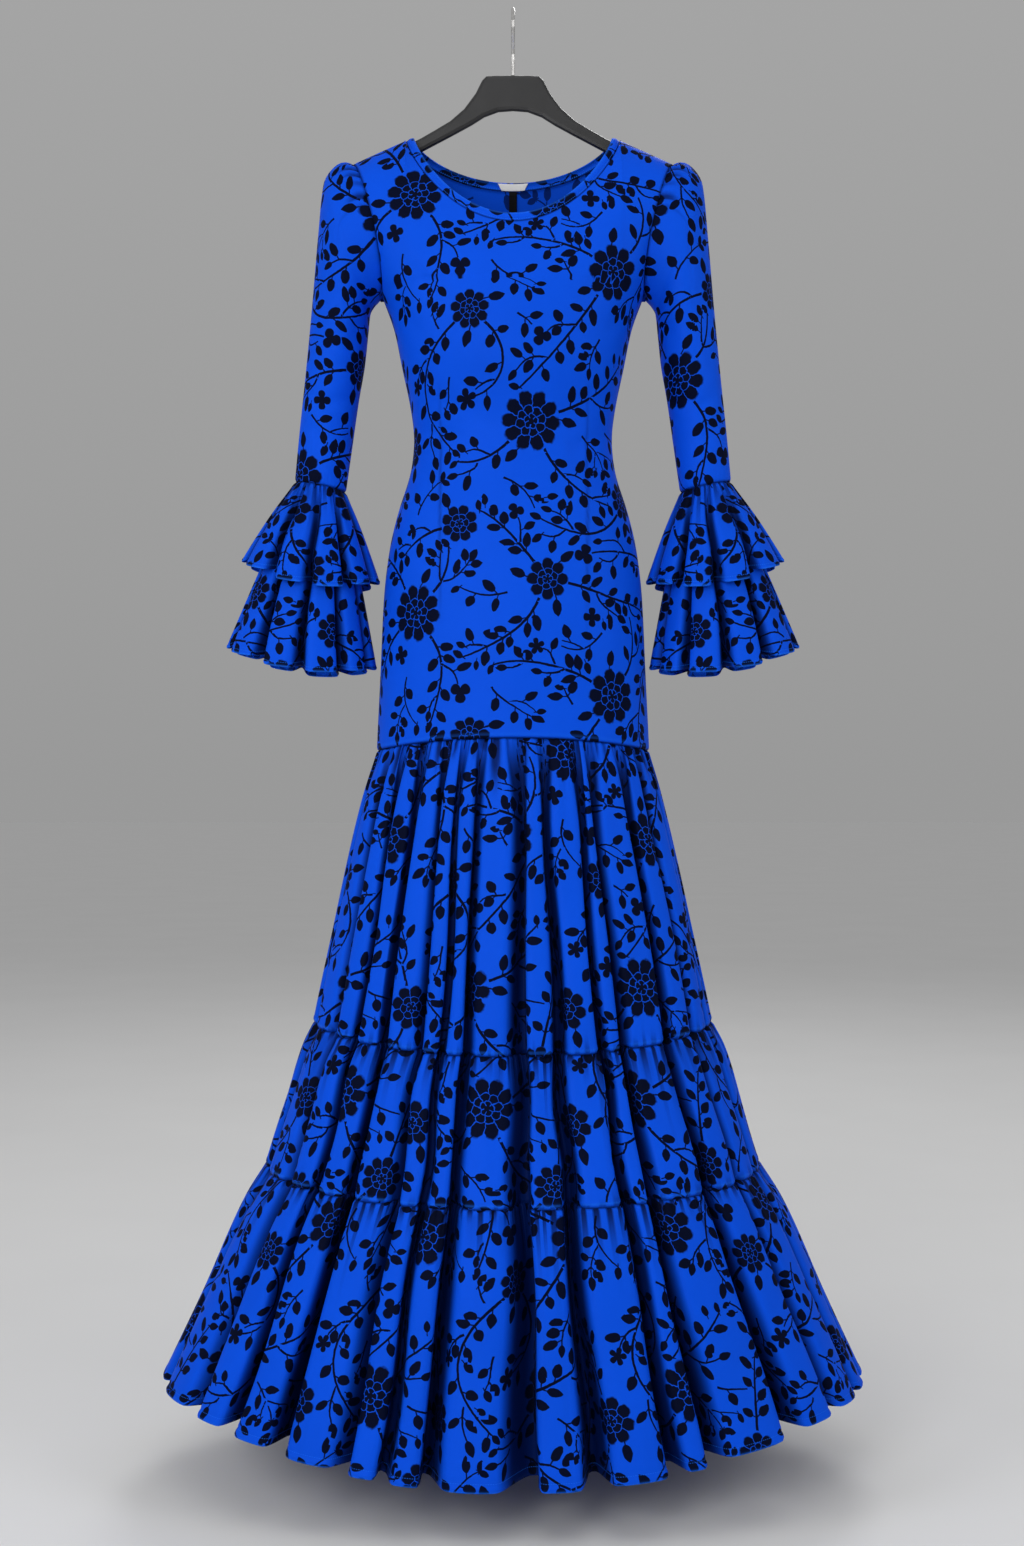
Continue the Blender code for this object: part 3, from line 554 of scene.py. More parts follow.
    def grow_from(self, bloom: Flower) -> None:
        """Grow a bloom's vines, and the leaves that show between its petals."""
        count = 4 if bloom.radius > 28.0 else 3
        first = self.random.uniform(0.0, 360.0)
        for index in range(count):
            angle = math.radians(first + 360.0 * index / count + self.random.uniform(-18.0, 18.0))
            x, y = ahead(bloom.x, bloom.y, angle, bloom.radius * 1.02 + 3.6)
            length, curl = self.random.uniform(90.0, 170.0), self.random.uniform(-130.0, 130.0)
            if self.sprig(x, y, angle, length, curl, 1.8, True):
                foot = ahead(bloom.x, bloom.y, angle, bloom.radius * 0.99)
                self.stems.append(Stem(*foot, x, y, 1.8, True, False))
        for index in range(3):
            angle = math.radians(first + 360.0 * (index + 0.5) / 3)
            foot = ahead(bloom.x, bloom.y, angle, bloom.radius * 1.03)
            self.add_leaf(Leaf(*foot, angle + 0.3, 19.0, 5.6, 0.8), index % 2)

    def fill(self) -> None:
        """Plant sprigs in what is still bare."""
        for clear, tries in ((20.0, 500), (14.0, 600)):
            for _ in range(tries):
                x, y = self.random.uniform(0.0, self.width), self.random.uniform(0.0, self.height)
                if not self.free(x, y, clear):
                    continue
                heading = self.random.uniform(0.0, math.tau)
                length = 2.6 * clear + self.random.uniform(0.0, 14.0)
                curl = self.random.uniform(-80.0, 80.0)
                start = ahead(x, y, heading, -0.7 * clear)
                if not self.sprig(*start, heading, length, curl, 1.4, clear > 15.0):
                    self.add_flower(x, y, 0.8 * clear, 4)

    def nearest(self, spots: list) -> np.ndarray:
        """Look up the motif nearest to each cell of the repeat.

        Args:
            spots: Places of the motifs as (x, y, motif index).

        Returns:
            Rows of motif indices, one for each cell.
        """
        margin = 60.0
        around = [(x + i * self.width, y + j * self.height, index) for x, y, index in spots
                  for i in (-1, 0, 1) for j in (-1, 0, 1)]
        near = [spot for spot in around
                if -margin < spot[0] < self.width + margin and -margin < spot[1] < self.height + margin]
        tree = KDTree(len(near))
        for place, (x, y, _) in enumerate(near):
            tree.insert((x, y, 0.0), place)
        tree.balance()
        rows, columns = round(self.height / self.cell), round(self.width / self.cell)
        found = [near[tree.find(((column + 0.5) * self.cell, (row + 0.5) * self.cell, 0.0))[1]][2]
                 for row in range(rows) for column in range(columns)]
        return np.array(found).reshape(rows, columns)

    def chart(self) -> None:
        """Chart the nearest flower, leaf of each side and run of stem over the whole repeat."""
        blooms = [(*ahead(flower.x, flower.y, angle, share * flower.radius), index)
                  for index, flower in enumerate(self.flowers)
                  for share in (0.0, 0.7) for angle in np.arange(12) * math.tau / 12]
        leaves = [[(*ahead(leaf.x, leaf.y, leaf.heading, share * leaf.length), index)
                   for index, leaf in enumerate(side) for share in (-0.15, 0.1, 0.35, 0.6, 0.85)]
                  for side in self.leaves]
        stems = [((1 - share) * run.x0 + share * run.x1, (1 - share) * run.y0 + share * run.y1, index)
                 for index, run in enumerate(self.stems) for share in (0.25, 0.75)]
        self.charts = [self.nearest(spots) for spots in (blooms, *leaves, stems)]
        self.tables = [np.array(rows, float) for rows in (self.flowers, *self.leaves, self.stems)]

    def fields(self, corners: np.ndarray) -> dict[str, np.ndarray]:
        """Work out where each face corner lies in the motif that its face may show.

        Args:
            corners: Places on the flat cloth in millimetres, four for each face.

        Returns:
            For each kind of motif, three numbers a corner that the printed cloth's material reads.
        """
        size = np.array((self.width, self.height))
        middle = corners.mean(axis=1)
        cells = np.floor((middle % size) / self.cell).astype(int)
        rows, columns = self.charts[0].shape
        cell_row, cell_column = np.minimum(cells[:, 1], rows - 1), np.minimum(cells[:, 0], columns - 1)
        flower, left, right, stem = (table[chart[cell_row, cell_column]]
                                     for chart, table in zip(self.charts, self.tables))
        local = self.beside(corners, middle, flower[:, :2]) / flower[:, None, 2:3]
        turned = along_and_across(local, np.cos(flower[:, 4:]), np.sin(flower[:, 4:]))
        fields = {"print_flower": stacked(*turned, flower[:, 3:4])}
        for name, leaf in (("print_leaf_one", left), ("print_leaf_two", right)):
            local = self.beside(corners, middle, leaf[:, :2])
            along, across = along_and_across(local, np.cos(leaf[:, 2:3]), np.sin(leaf[:, 2:3]))
            fields[name] = stacked(along / leaf[:, 3:4], across / leaf[:, 4:5], leaf[:, 5:])
        run = stem[:, 2:4] - stem[:, :2]
        length = np.linalg.norm(run, axis=1, keepdims=True)
        way = run / length
        along, across = along_and_across(self.beside(corners, middle, stem[:, :2]), way[:, :1], way[:, 1:])
        before = np.where(stem[:, 5:6] > 0.5, -along, -1.0)
        past = np.where(stem[:, 6:] > 0.5, along - length, -1.0)
        fields["print_stem"] = stacked(across, np.maximum(past, before), stem[:, 4:5])
        return fields

    def beside(self, corners: np.ndarray, middle: np.ndarray, places: np.ndarray) -> np.ndarray:
        """Return corners as seen from the copy of a motif's place that is nearest to each face."""
        size = np.array((self.width, self.height))
        shift = np.round((middle - places) / size) * size
        return corners - (places + shift)[:, None, :]


# ---- Finishes ----
def operator(operation: str, reflected: bool = False) -> Callable[..., "Shade"]:
    """Make a method of Shade that adds a Math node.

    Args:
        operation: What the node does.
        reflected: Whether the shade is the node's second number.

    Returns:
        The method.
    """
    def method(self: "Shade", *others: "Number") -> "Shade":
        """Return the node's result."""
        return self.bench.sum_up(operation, *((*others, self) if reflected else (self, *others)))
    return method


class Shade:
    """A number that a material's nodes work out, with the arithmetic that the finishes use.

    `<` gives 1 where it holds and 0 elsewhere, `part` is what a number has beyond a whole one, and `most` is
    the larger of two.
    """

    def __init__(self, bench: "Bench", socket: bpy.types.NodeSocket) -> None:
        """Wrap a socket of a material that is being made on a bench."""
        self.bench = bench
        self.socket = socket

    __add__ = __radd__ = operator("ADD")
    __sub__ = operator("SUBTRACT")
    __rsub__ = operator("SUBTRACT", reflected=True)
    __mul__ = __rmul__ = operator("MULTIPLY")
    __truediv__ = operator("DIVIDE")
    __rtruediv__ = operator("DIVIDE", reflected=True)
    __pow__ = operator("POWER")
    __abs__ = operator("ABSOLUTE")
    __lt__ = operator("LESS_THAN")
    part = operator("FRACT")
    most = operator("MAXIMUM")

    def held(self) -> "Shade":
        """Return the number held between 0 and 1."""
        return self.bench.sum_up("MULTIPLY", self, 1.0, clamp=True)


Number = Union[Shade, float]
Made = Union[bpy.types.Material, bpy.types.World]


class Bench:
    """Where the nodes of one material, or of the room's light, are put together."""

    def __init__(self, made: "Made", shader: str = "Principled BSDF") -> None:
        """Start with the shader that is there from the first."""
        made.use_nodes = True
        self.made = made
        self.tree = made.node_tree
        self.shader = self.tree.nodes[shader]

    def node(self, kind: str, settings: dict, inputs: dict) -> bpy.types.Node:
        """Add a node.

        Args:
            kind: The node's type.
            settings: Its settings; a ramp's stops are pairs of place and colour under "stops".
            inputs: Values, shades or sockets for its inputs, by name or number.

        Returns:
            The node.
        """
        made = self.tree.nodes.new(kind)
        for name, value in settings.items():
            if name != "stops":
                setattr(made, name, value)
                continue
            for index, (place, colour) in enumerate(value):
                stop = made.color_ramp.elements[index] if index < 2 else made.color_ramp.elements.new(place)
                stop.position, stop.color = place, colour
        for name, value in inputs.items():
            self.feed(made.inputs[name], value)
        return made

    def feed(self, socket: bpy.types.NodeSocket, value: object) -> None:
        """Give a socket a value, or link a shade or another socket to it."""
        if isinstance(value, Shade):
            self.tree.links.new(value.socket, socket)
        elif isinstance(value, bpy.types.NodeSocket):
            self.tree.links.new(value, socket)
        else:
            socket.default_value = value

    def sum_up(self, operation: str, *values: Number, clamp: bool = False) -> Shade:
        """Add a Math node and return its result."""
        settings = {"operation": operation, "use_clamp": clamp}
        return Shade(self, self.node("ShaderNodeMath", settings, dict(enumerate(values))).outputs[0])

    def parts(self, whole: bpy.types.NodeSocket, kind: str = "XYZ") -> tuple[Shade, Shade, Shade]:
        """Return the three numbers of a vector, or of a colour if the kind says so."""
        node = self.node(f"ShaderNodeSeparate{kind}", {}, {0: whole})
        return tuple(Shade(self, socket) for socket in node.outputs)

    def field(self, name: str) -> tuple[Shade, Shade, Shade]:
        """Return the three numbers that the mesh stores under a name."""
        read = self.node("ShaderNodeAttribute", {"attribute_name": name}, {})
        return self.parts(read.outputs["Vector"])

    def place(self) -> bpy.types.NodeSocket:
        """Return the place on the piece, in metres."""
        return self.node("ShaderNodeTexCoord", {}, {}).outputs["Object"]

    def noise(self, place: bpy.types.NodeSocket, scale: float, detail: float = 2.0) -> bpy.types.Node:
        """Add a noise texture over a place."""
        return self.node("ShaderNodeTexNoise", {}, {"Vector": place, "Scale": scale, "Detail": detail})

    def cloud(self, place: bpy.types.NodeSocket, scale: float, detail: float = 2.0) -> Shade:
        """Return a noise texture's value over a place."""
        return Shade(self, self.noise(place, scale, detail).outputs[0])

    def blend_colours(self, share: Number, first: object, second: object) -> bpy.types.NodeSocket:
        """Mix two colours."""
        mixed = self.node("ShaderNodeMix", {"data_type": "RGBA"}, {0: share, 6: first, 7: second})
        return mixed.outputs[2]

    def raise_surface(self, height: Shade) -> None:
        """Let the surface stand out by a height in millimetres."""
        bump = self.node("ShaderNodeBump", {}, {"Height": height, "Distance": MM, "Strength": 1.0})
        self.feed(self.shader.inputs["Normal"], bump.outputs["Normal"])

    def finish(self, **sockets: object) -> Made:
        """Set the shader's sockets, whose names have underscores here, and return what was made."""
        for name, value in sockets.items():
            self.feed(self.shader.inputs[name.replace("_", " ")], value)
        return self.made


def new_bench(name: str) -> Bench:
    """Start a material."""
    return Bench(bpy.data.materials.new(name))


Colour = tuple[float, float, float, float]


def scaled(colour: Colour, share: float) -> Colour:
    """Return a colour made darker or lighter."""
    return (*(value * share for value in colour[:3]), 1.0)


class Reverse(Enum):
    """Which side of the cloth a finish is for, as how strongly the ink shows there."""

    RIGHT_SIDE = 1.0
    WRONG_SIDE = 0.8


@dataclass(frozen=True)
class PrintedCrepe:
    """Satin-faced blue crepe with a black print, drawn from the fields that each mesh stores.

    Attributes:
        blue: Colour of the cloth.
        ink: Colour of the print, and, made darker, of the painted shade.
        thread: Colour of the hem's stitches, and of the painted highlight on rolled edges.
        line: Half the width of the bare lines in a bloom, as a share of its radius.
    """

    blue: Colour = (0.0022, 0.076, 0.70, 1.0)
    ink: Colour = (0.0010, 0.0026, 0.0150, 1.0)
    thread: Colour = (0.012, 0.16, 0.90, 1.0)
    line: float = 0.021

    def ring(self, angle: Shade, count: Number, turn: float) -> tuple[Shade, Shade]:
        """Return a direction's share of the way from its petal's middle to the edge, and the angle left."""
        step = math.tau / count
        away = abs((angle / step + (0.5 + turn)).part() - 0.5) * 2.0
        return away, (1.0 - away) * step * 0.5

    def flower_mask(self, bench: Bench, wobble: tuple[Shade, Shade, Shade]) -> Shade:
        """Return where a bloom or a small flower is printed.

        A bloom is a scalloped disc with fine bare lines between its petals, round two inner rings and through
        its heart.  A small flower has deeper scallops and no lines.
        """
        across, down, count = bench.field("print_flower")
        across, down = across + wobble[0] * 0.12, down + wobble[1] * 0.12
        radius = (across * across + down * down) ** 0.5
        angle = bench.sum_up("ARCTAN2", down, across)
        small = count < 5.5
        away, left = self.ring(angle, count, 0.0)
        edge = 1.0 - away ** 2.6 * (0.25 + small * 0.33)
        whole = ((edge - radius) * 14.0).held()
        inner_away, inner_left = self.ring(angle, count - 2.0, 0.35)
        heart_away, heart_left = self.ring(angle, 5.0, 0.15)
        inner = 0.50 - inner_away ** 2.0 * 0.08
        heart = 0.24 - heart_away ** 2.0 * 0.06
        line = self.drawn(left * radius + (radius < inner) * FAR)
        line = line.most(self.drawn(inner_left * radius + (radius < heart) * FAR + (inner < radius) * FAR))
        line = line.most(self.drawn(heart_left * radius + (heart < radius) * FAR + (radius < 0.09) * FAR))
        line = line.most(self.drawn(abs(radius - inner))).most(self.drawn(abs(radius - heart)))
        return whole * (1.0 - line * (1.0 - small))

    def drawn(self, distance: Shade) -> Shade:
        """Return the mask of a fine line by the distance from its middle."""
        return ((self.line - distance) * 60.0).held()

    def leaf_mask(self, bench: Bench, name: str, wobble: tuple[Shade, Shade, Shade]) -> Shade:
        """Return where a leaf is printed."""
        along, across, point = bench.field(name)
        share = (along + wobble[2] * 0.10).held() ** 0.85
        stalk = (abs(along) < STALK) * 0.2
        half = ((share * (1.0 - share) * 4.0) ** point).most(stalk)
        return ((half - abs(across + wobble[0] * 0.3)) * 9.0).held()

    def stem_mask(self, bench: Bench, wobble: tuple[Shade, Shade, Shade]) -> Shade:
        """Return where a stem is printed."""
        across, past, half = bench.field("print_stem")
        line = ((half - abs(across + wobble[1] * 1.1)) * 3.0).held()
        return line * (past < 0.6)

    def gathers(self, bench: Bench) -> Shade:
        """Return how deep the finest folds beside a gathered seam are, from 0 to 1, for their bump and
        painted shade.
        """
        place, away, share = bench.field("gathering")
        number = bench.sum_up("FLOOR", place)
        chance = bench.node("ShaderNodeTexWhiteNoise", {"noise_dimensions": "1D"}, {"W": number})
        reach = Shade(bench, chance.outputs["Value"]) ** 1.6 * 40.0 + 10.0
        fade = bench.sum_up("EXPONENT", (away / reach) ** 1.5 * -1.0)
        middle = abs(place.part() - 0.5) * 2.0
        return ((0.6 - middle) * 3.2).held() * fade * share

    def dress(self, side: Reverse) -> bpy.types.Material:
        """Make the finish for one side of the cloth.

        Args:
            side: The right side or the wrong side.

        Returns:
            The material.
        """
        bench = new_bench(f"printed_crepe_{side.name.lower()}")
        place = bench.node("ShaderNodeUVMap", {"uv_map": "cloth"}, {}).outputs["UV"]
        drift = bench.noise(place, 170.0, 1.0).outputs["Color"]
        wobble = tuple(part - 0.5 for part in bench.parts(drift, "Color"))
        ink = self.flower_mask(bench, wobble).most(self.stem_mask(bench, wobble))
        for side_leaves in ("print_leaf_one", "print_leaf_two"):
            ink = ink.most(self.leaf_mask(bench, side_leaves, wobble))
        tone, grain = bench.cloud(place, 9.0, 3.0), bench.cloud(place, 1500.0)
        mottle = (tone * 0.5 + grain * 0.5).held()
        ground = bench.blend_colours(mottle, scaled(self.blue, 0.82), scaled(self.blue, 1.18))
        inked = bench.blend_colours(mottle, scaled(self.ink, 0.7), scaled(self.ink, 1.5))
        colour = bench.blend_colours(ink * side.value, ground, inked)
        along, off, hollow = bench.field("stitching")
        dash = (1.0 - abs((along / 2.6).part() - 0.5) * 2.4).held()
        stitch = ((1.0 - abs(off) * 2.2).held() * dash * 3.0).held()
        crinkle = bench.cloud(place, 420.0, 3.0)
        fold = self.gathers(bench)
        # Painted shade: the cloth is mixed towards dark ink in the fine gathers, between folds and in seams,
        # and more weakly on the wrong side
        shaded = (fold * 0.92).most(hollow * 0.88) if side is Reverse.RIGHT_SIDE else hollow * 0.3
        colour = bench.blend_colours(shaded.held(), colour, scaled(self.ink, 0.7))
        # Stitches, and the painted highlight on rolled edges, are mixed towards the lighter stitch colour
        colour = bench.blend_colours((stitch * 0.5).most(hollow * -0.8).held(), colour, self.thread)
        bench.raise_surface(grain * 0.035 + crinkle * 0.075 + stitch * 0.2 - fold * 1.9)
        rough = 0.56 + ink * 0.10 + (grain - 0.5) * 0.10
        return bench.finish(Base_Color=colour, Roughness=rough, Specular_IOR_Level=0.035, Sheen_Weight=0.03,
                            Sheen_Roughness=0.3, Sheen_Tint=(0.02, 0.20, 1.0, 1.0))


@dataclass(frozen=True)
class WovenTape:
    """Black twill tape of the zip, and its coil of nylon teeth.

    Attributes:
        colour: Colour of the yarn.
        rib: Ribs of the weave for each metre.
    """

    colour: Colour = (0.004, 0.004, 0.005, 1.0)
    rib: float = 900.0

    def dress(self) -> bpy.types.Material:
        """Return the tape's material."""
        bench = new_bench("black_twill_tape")
        place = bench.place()
        across, _, up = bench.parts(place)
        twill = abs(((across + up) * self.rib).part() - 0.5) * 2.0
        fluff = bench.cloud(place, 1800.0, 3.0)
        colour = bench.blend_colours((twill * 0.6 + fluff * 0.4).held(), scaled(self.colour, 0.6),
                                     scaled(self.colour, 1.8))
        bench.raise_surface(twill * 0.14 + fluff * 0.06)
        return bench.finish(Base_Color=colour, Roughness=0.72 + fluff * 0.16, Specular_IOR_Level=0.12)


@dataclass(frozen=True)
class SatinLabel:
    """White woven satin of the blank label.

    Attributes:
        colour: Colour of the satin.
        rib: Weft threads for each metre.
    """

    colour: Colour = (0.90, 0.90, 0.89, 1.0)
    rib: float = 2600.0

    def dress(self) -> bpy.types.Material:
        """Return the label's material."""
        bench = new_bench("white_satin_label")
        place = bench.place()
        weft = abs((bench.parts(place)[2] * self.rib).part() - 0.5) * 2.0
        slub = bench.cloud(place, 900.0)
        colour = bench.blend_colours((weft * 0.5 + slub * 0.5).held(), scaled(self.colour, 0.9), self.colour)
        bench.raise_surface(weft * 0.07 + slub * 0.05)
        return bench.finish(Base_Color=colour, Roughness=0.42 + slub * 0.12, Sheen_Weight=0.15)


@dataclass(frozen=True)
class Moulded:
    """A hard black or metal finish with fine wear.

    Attributes:
        name: Name of the material.
        colour: Its colour.
        rough: Roughness of untouched surface.
        metal: Whether it is bare metal.
        grain: Size of the surface's grain, in grains a metre.
        relief: How far the grain stands out, in millimetres.
        coat: Weight of a clear coat.
    """

    name: str
    colour: Colour
    rough: float
    metal: float = 0.0
    grain: float = 700.0
    relief: float = 0.05
    coat: float = 0.0

    def dress(self) -> bpy.types.Material:
        """Return the material."""
        bench = new_bench(self.name)
        place = bench.place()
        grain, wear = bench.cloud(place, self.grain, 3.0), bench.cloud(place, 38.0, 4.0)
        share = (wear * 1.4 - 0.2).held()
        colour = bench.blend_colours(share, scaled(self.colour, 0.8), scaled(self.colour, 1.25))
        bench.raise_surface(grain * self.relief)
        rough = self.rough + (wear - 0.5) * 0.18 + (grain - 0.5) * 0.05
        return bench.finish(Base_Color=colour, Roughness=rough, Metallic=self.metal, Coat_Weight=self.coat,
                            Coat_Roughness=0.25)


class Wardrobe:
    """The finishes of all the pieces, made once and shared."""

    def __init__(self, repeat: PrintRepeat) -> None:
        """Make every material."""
        crepe = PrintedCrepe()
        self.repeat = repeat
        self.right_side = crepe.dress(Reverse.RIGHT_SIDE)
        self.wrong_side = crepe.dress(Reverse.WRONG_SIDE)
        self.tape = WovenTape().dress()
        self.label = SatinLabel().dress()
        self.lacquer = Moulded("black_zip_lacquer", (0.014, 0.014, 0.016, 1.0), 0.32, coat=0.4).dress()
        self.plastic = Moulded("black_hanger_plastic", (0.013, 0.013, 0.014, 1.0), 0.42).dress()
        self.steel = Moulded("polished_wire", (0.60, 0.59, 0.58, 1.0), 0.30, metal=1.0, grain=300.0,
                             relief=0.01).dress()


# ---- Sewing ----
@dataclass(frozen=True)
class Gathers:
    """Small folds that a gathered seam throws into the cloth below it.

    Attributes:
        count: Folds across the width.
        depth: Depth of the deepest.
        short: How far the shortest run down.
        long: How far the longest run down.
        seed: Seed of their unevenness.
        at_seam: Share of the depth that is left at the seam itself.
        narrow: Half the width of a valley, as a share of the distance to the next.
    """

    count: int
    depth: float
    short: float
    long: float
    seed: int
    at_seam: float = 0.35
    narrow: float = 0.62

    def inset(self, share: np.ndarray, down: np.ndarray, tube: bool) -> np.ndarray:
        """Return how far the folds push each point in.

        Args:
            share: Place of each column, from 0 to 1 across the width.
            down: Distance of each row below the seam.
            tube: Whether the last fold lies beside the first.

        Returns:
            Rows of depths.
        """
        random = np.random.default_rng(self.seed)
        widths = random.uniform(0.6, 1.4, self.count)
        places = np.concatenate([[0.0], np.cumsum(widths) / widths.sum()])
        depth = random.uniform(0.45, 1.0, self.count + 1) * self.depth
        reach = self.short + (self.long - self.short) * random.uniform(0.0, 1.0, self.count + 1) ** 2.2
        if tube:
            depth[-1], reach[-1] = depth[0], reach[0]
        index = np.clip(np.searchsorted(places, share, side="right") - 1, 0, self.count - 1)
        part = (share - places[index]) / (places[index + 1] - places[index])
        total = np.zeros((len(down), len(share)))
        start = self.at_seam + (1.0 - self.at_seam) * smooth(down / 9.0)
        for valley, away in ((index, part), (index + 1, 1.0 - part)):
            bell = (1.0 + np.cos(math.pi * np.minimum(1.0, away / self.narrow))) / 2
            fade = np.exp(-(down[:, None] / reach[valley][None, :]) ** 1.6)
            total += depth[valley] * bell * fade * start[:, None]
        return total


class Crease(NamedTuple):
    """A soft trough pressed or dragged into the cloth between two places, given as across and down; one whose
    depth is less than nothing is a ridge.  `half` is half its width."""

    across0: float
    down0: float
    across1: float
    down1: float
    depth: float
    half: float

    def inset(self, across: np.ndarray, down: np.ndarray) -> np.ndarray:
        """Return how far the crease pushes in points at places across and down the cloth."""
        run_across, run_down = self.across1 - self.across0, self.down1 - self.down0
        length = math.hypot(run_across, run_down)
        x, y = across - self.across0, down - self.down0
        along = (x * run_across + y * run_down) / length
        off = (x * run_down - y * run_across) / length
        past = np.maximum(np.maximum(-along, along - length), 0.0)
        taper = np.sin(math.pi * np.clip(along / length, 0.0, 1.0)) ** 0.7
        return self.depth * taper * np.exp(-(off / self.half) ** 2 - (past / self.half) ** 2)

    def on(self, side: Side) -> "Crease":
        """Return the crease, or its mirror image for the left side."""
        return self._replace(across0=side.value * self.across0, across1=side.value * self.across1)


def tucked(distance: np.ndarray, depth: float, reach: float) -> np.ndarray:
    """Return how far an edge rolls in beside a seam, by the distance from it."""
    return depth * np.exp(-(distance / reach) ** 2)


class Tuck(NamedTuple):
    """A roll pressed into cloth along an edge: its distance from the edge, its depth, and its reach to each
    side.  One whose depth is less than nothing stands out."""

    off: float
    depth: float
    reach: float


def rolled(distance: np.ndarray, tucks: Sequence[Tuck]) -> np.ndarray:
    """Return how far rolls push each row in, as a column of depths, by the rows' distance from an edge."""
    return sum(tucked(distance - tuck.off, tuck.depth, tuck.reach) for tuck in tucks)[:, None]


class Cut(NamedTuple):
    """How a piece of cloth is cut and held: its thickness, where on the repeat it lay, how it is held, and
    the piece or node that it rests on."""

    thick: float
    shift: tuple[float, float]
    held: str
    on: str


class Tailor:
    """Turns grids of cloth into pieces with their thickness, print, stitches, painted shade and finishes."""

    def __init__(self, wardrobe: Wardrobe) -> None:
        """Keep the finishes."""
        self.wardrobe = wardrobe

    def sew(self, node: str, cloth: Cloth, cut: Cut, ending: str = "") -> bpy.types.Object:
        """Make a piece of printed cloth, put it in its node's place and report its faces and area.

        Args:
            node: The start of the piece's name and of the name of the CAD node that it stands for.
            cloth: Its grid.
            cut: How it is cut and held.
            ending: The end of both names.

        Returns:
            The piece.
        """
        rows, columns = cloth.points.shape[:2]
        wide = cloth.flat.shape[1]
        faces, corners = shell_faces(rows, columns, cloth.tube)
        inner = cloth.points + cut.thick * cloth.inward()
        piece = new_piece(f"{node}_cloth{ending}", np.concatenate([cloth.points, inner]), faces.tolist())
        mesh = piece.data
        places = cloth.flat.reshape(-1, 2)[corners]
        flat = places + np.array(cut.shift)
        layer = mesh.uv_layers.new(name="cloth")
        layer.data.foreach_set("uv", np.ascontiguousarray(flat * MM, np.float32).ravel())
        for name, values in self.wardrobe.repeat.fields(flat).items():
            corner_field(mesh, name, values)
        off = np.repeat(np.full(rows, FAR) if cloth.hem is None else cloth.hem, wide)[corners]
        # Each corner keeps its place along the cloth, its distance from the hem's stitches, and its painted
        # shade, which is a painted highlight where it is less than nothing
        corner_field(mesh, "stitching", np.stack([places[..., 0], off, cloth.hollows(corners)], axis=2))
        corner_field(mesh, "gathering", cloth.gathering(corners))
        mesh.materials.append(self.wardrobe.right_side)
        mesh.materials.append(self.wardrobe.wrong_side)
        skin = (rows - 1) * (wide - 1)
        sides = np.zeros(len(faces), np.int32)
        sides[skin:2 * skin] = 1
        mesh.polygons.foreach_set("material_index", sides)
        mesh.update()
        settle(piece, [f"{node}{ending}"])
        width, length = cloth.size()
        REPORT.info("%s: %d faces, %.3f square metres", piece.name, len(faces), cloth.area())
        return piece


def settle(piece: bpy.types.Object, nodes: Sequence[str] = (), body: str = DRESS) -> None:
    """Let a piece move with its body, and hide the nodes that it stands for."""
    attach(piece, body)
    if nodes:
        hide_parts(*nodes)


# ---- The fitted body ----
class BodyLevel(NamedTuple):
    """One level of the fitted body: its height, half width, and depth before and behind the side seams."""

    z: float
    half_width: float
    front: float
    back: float


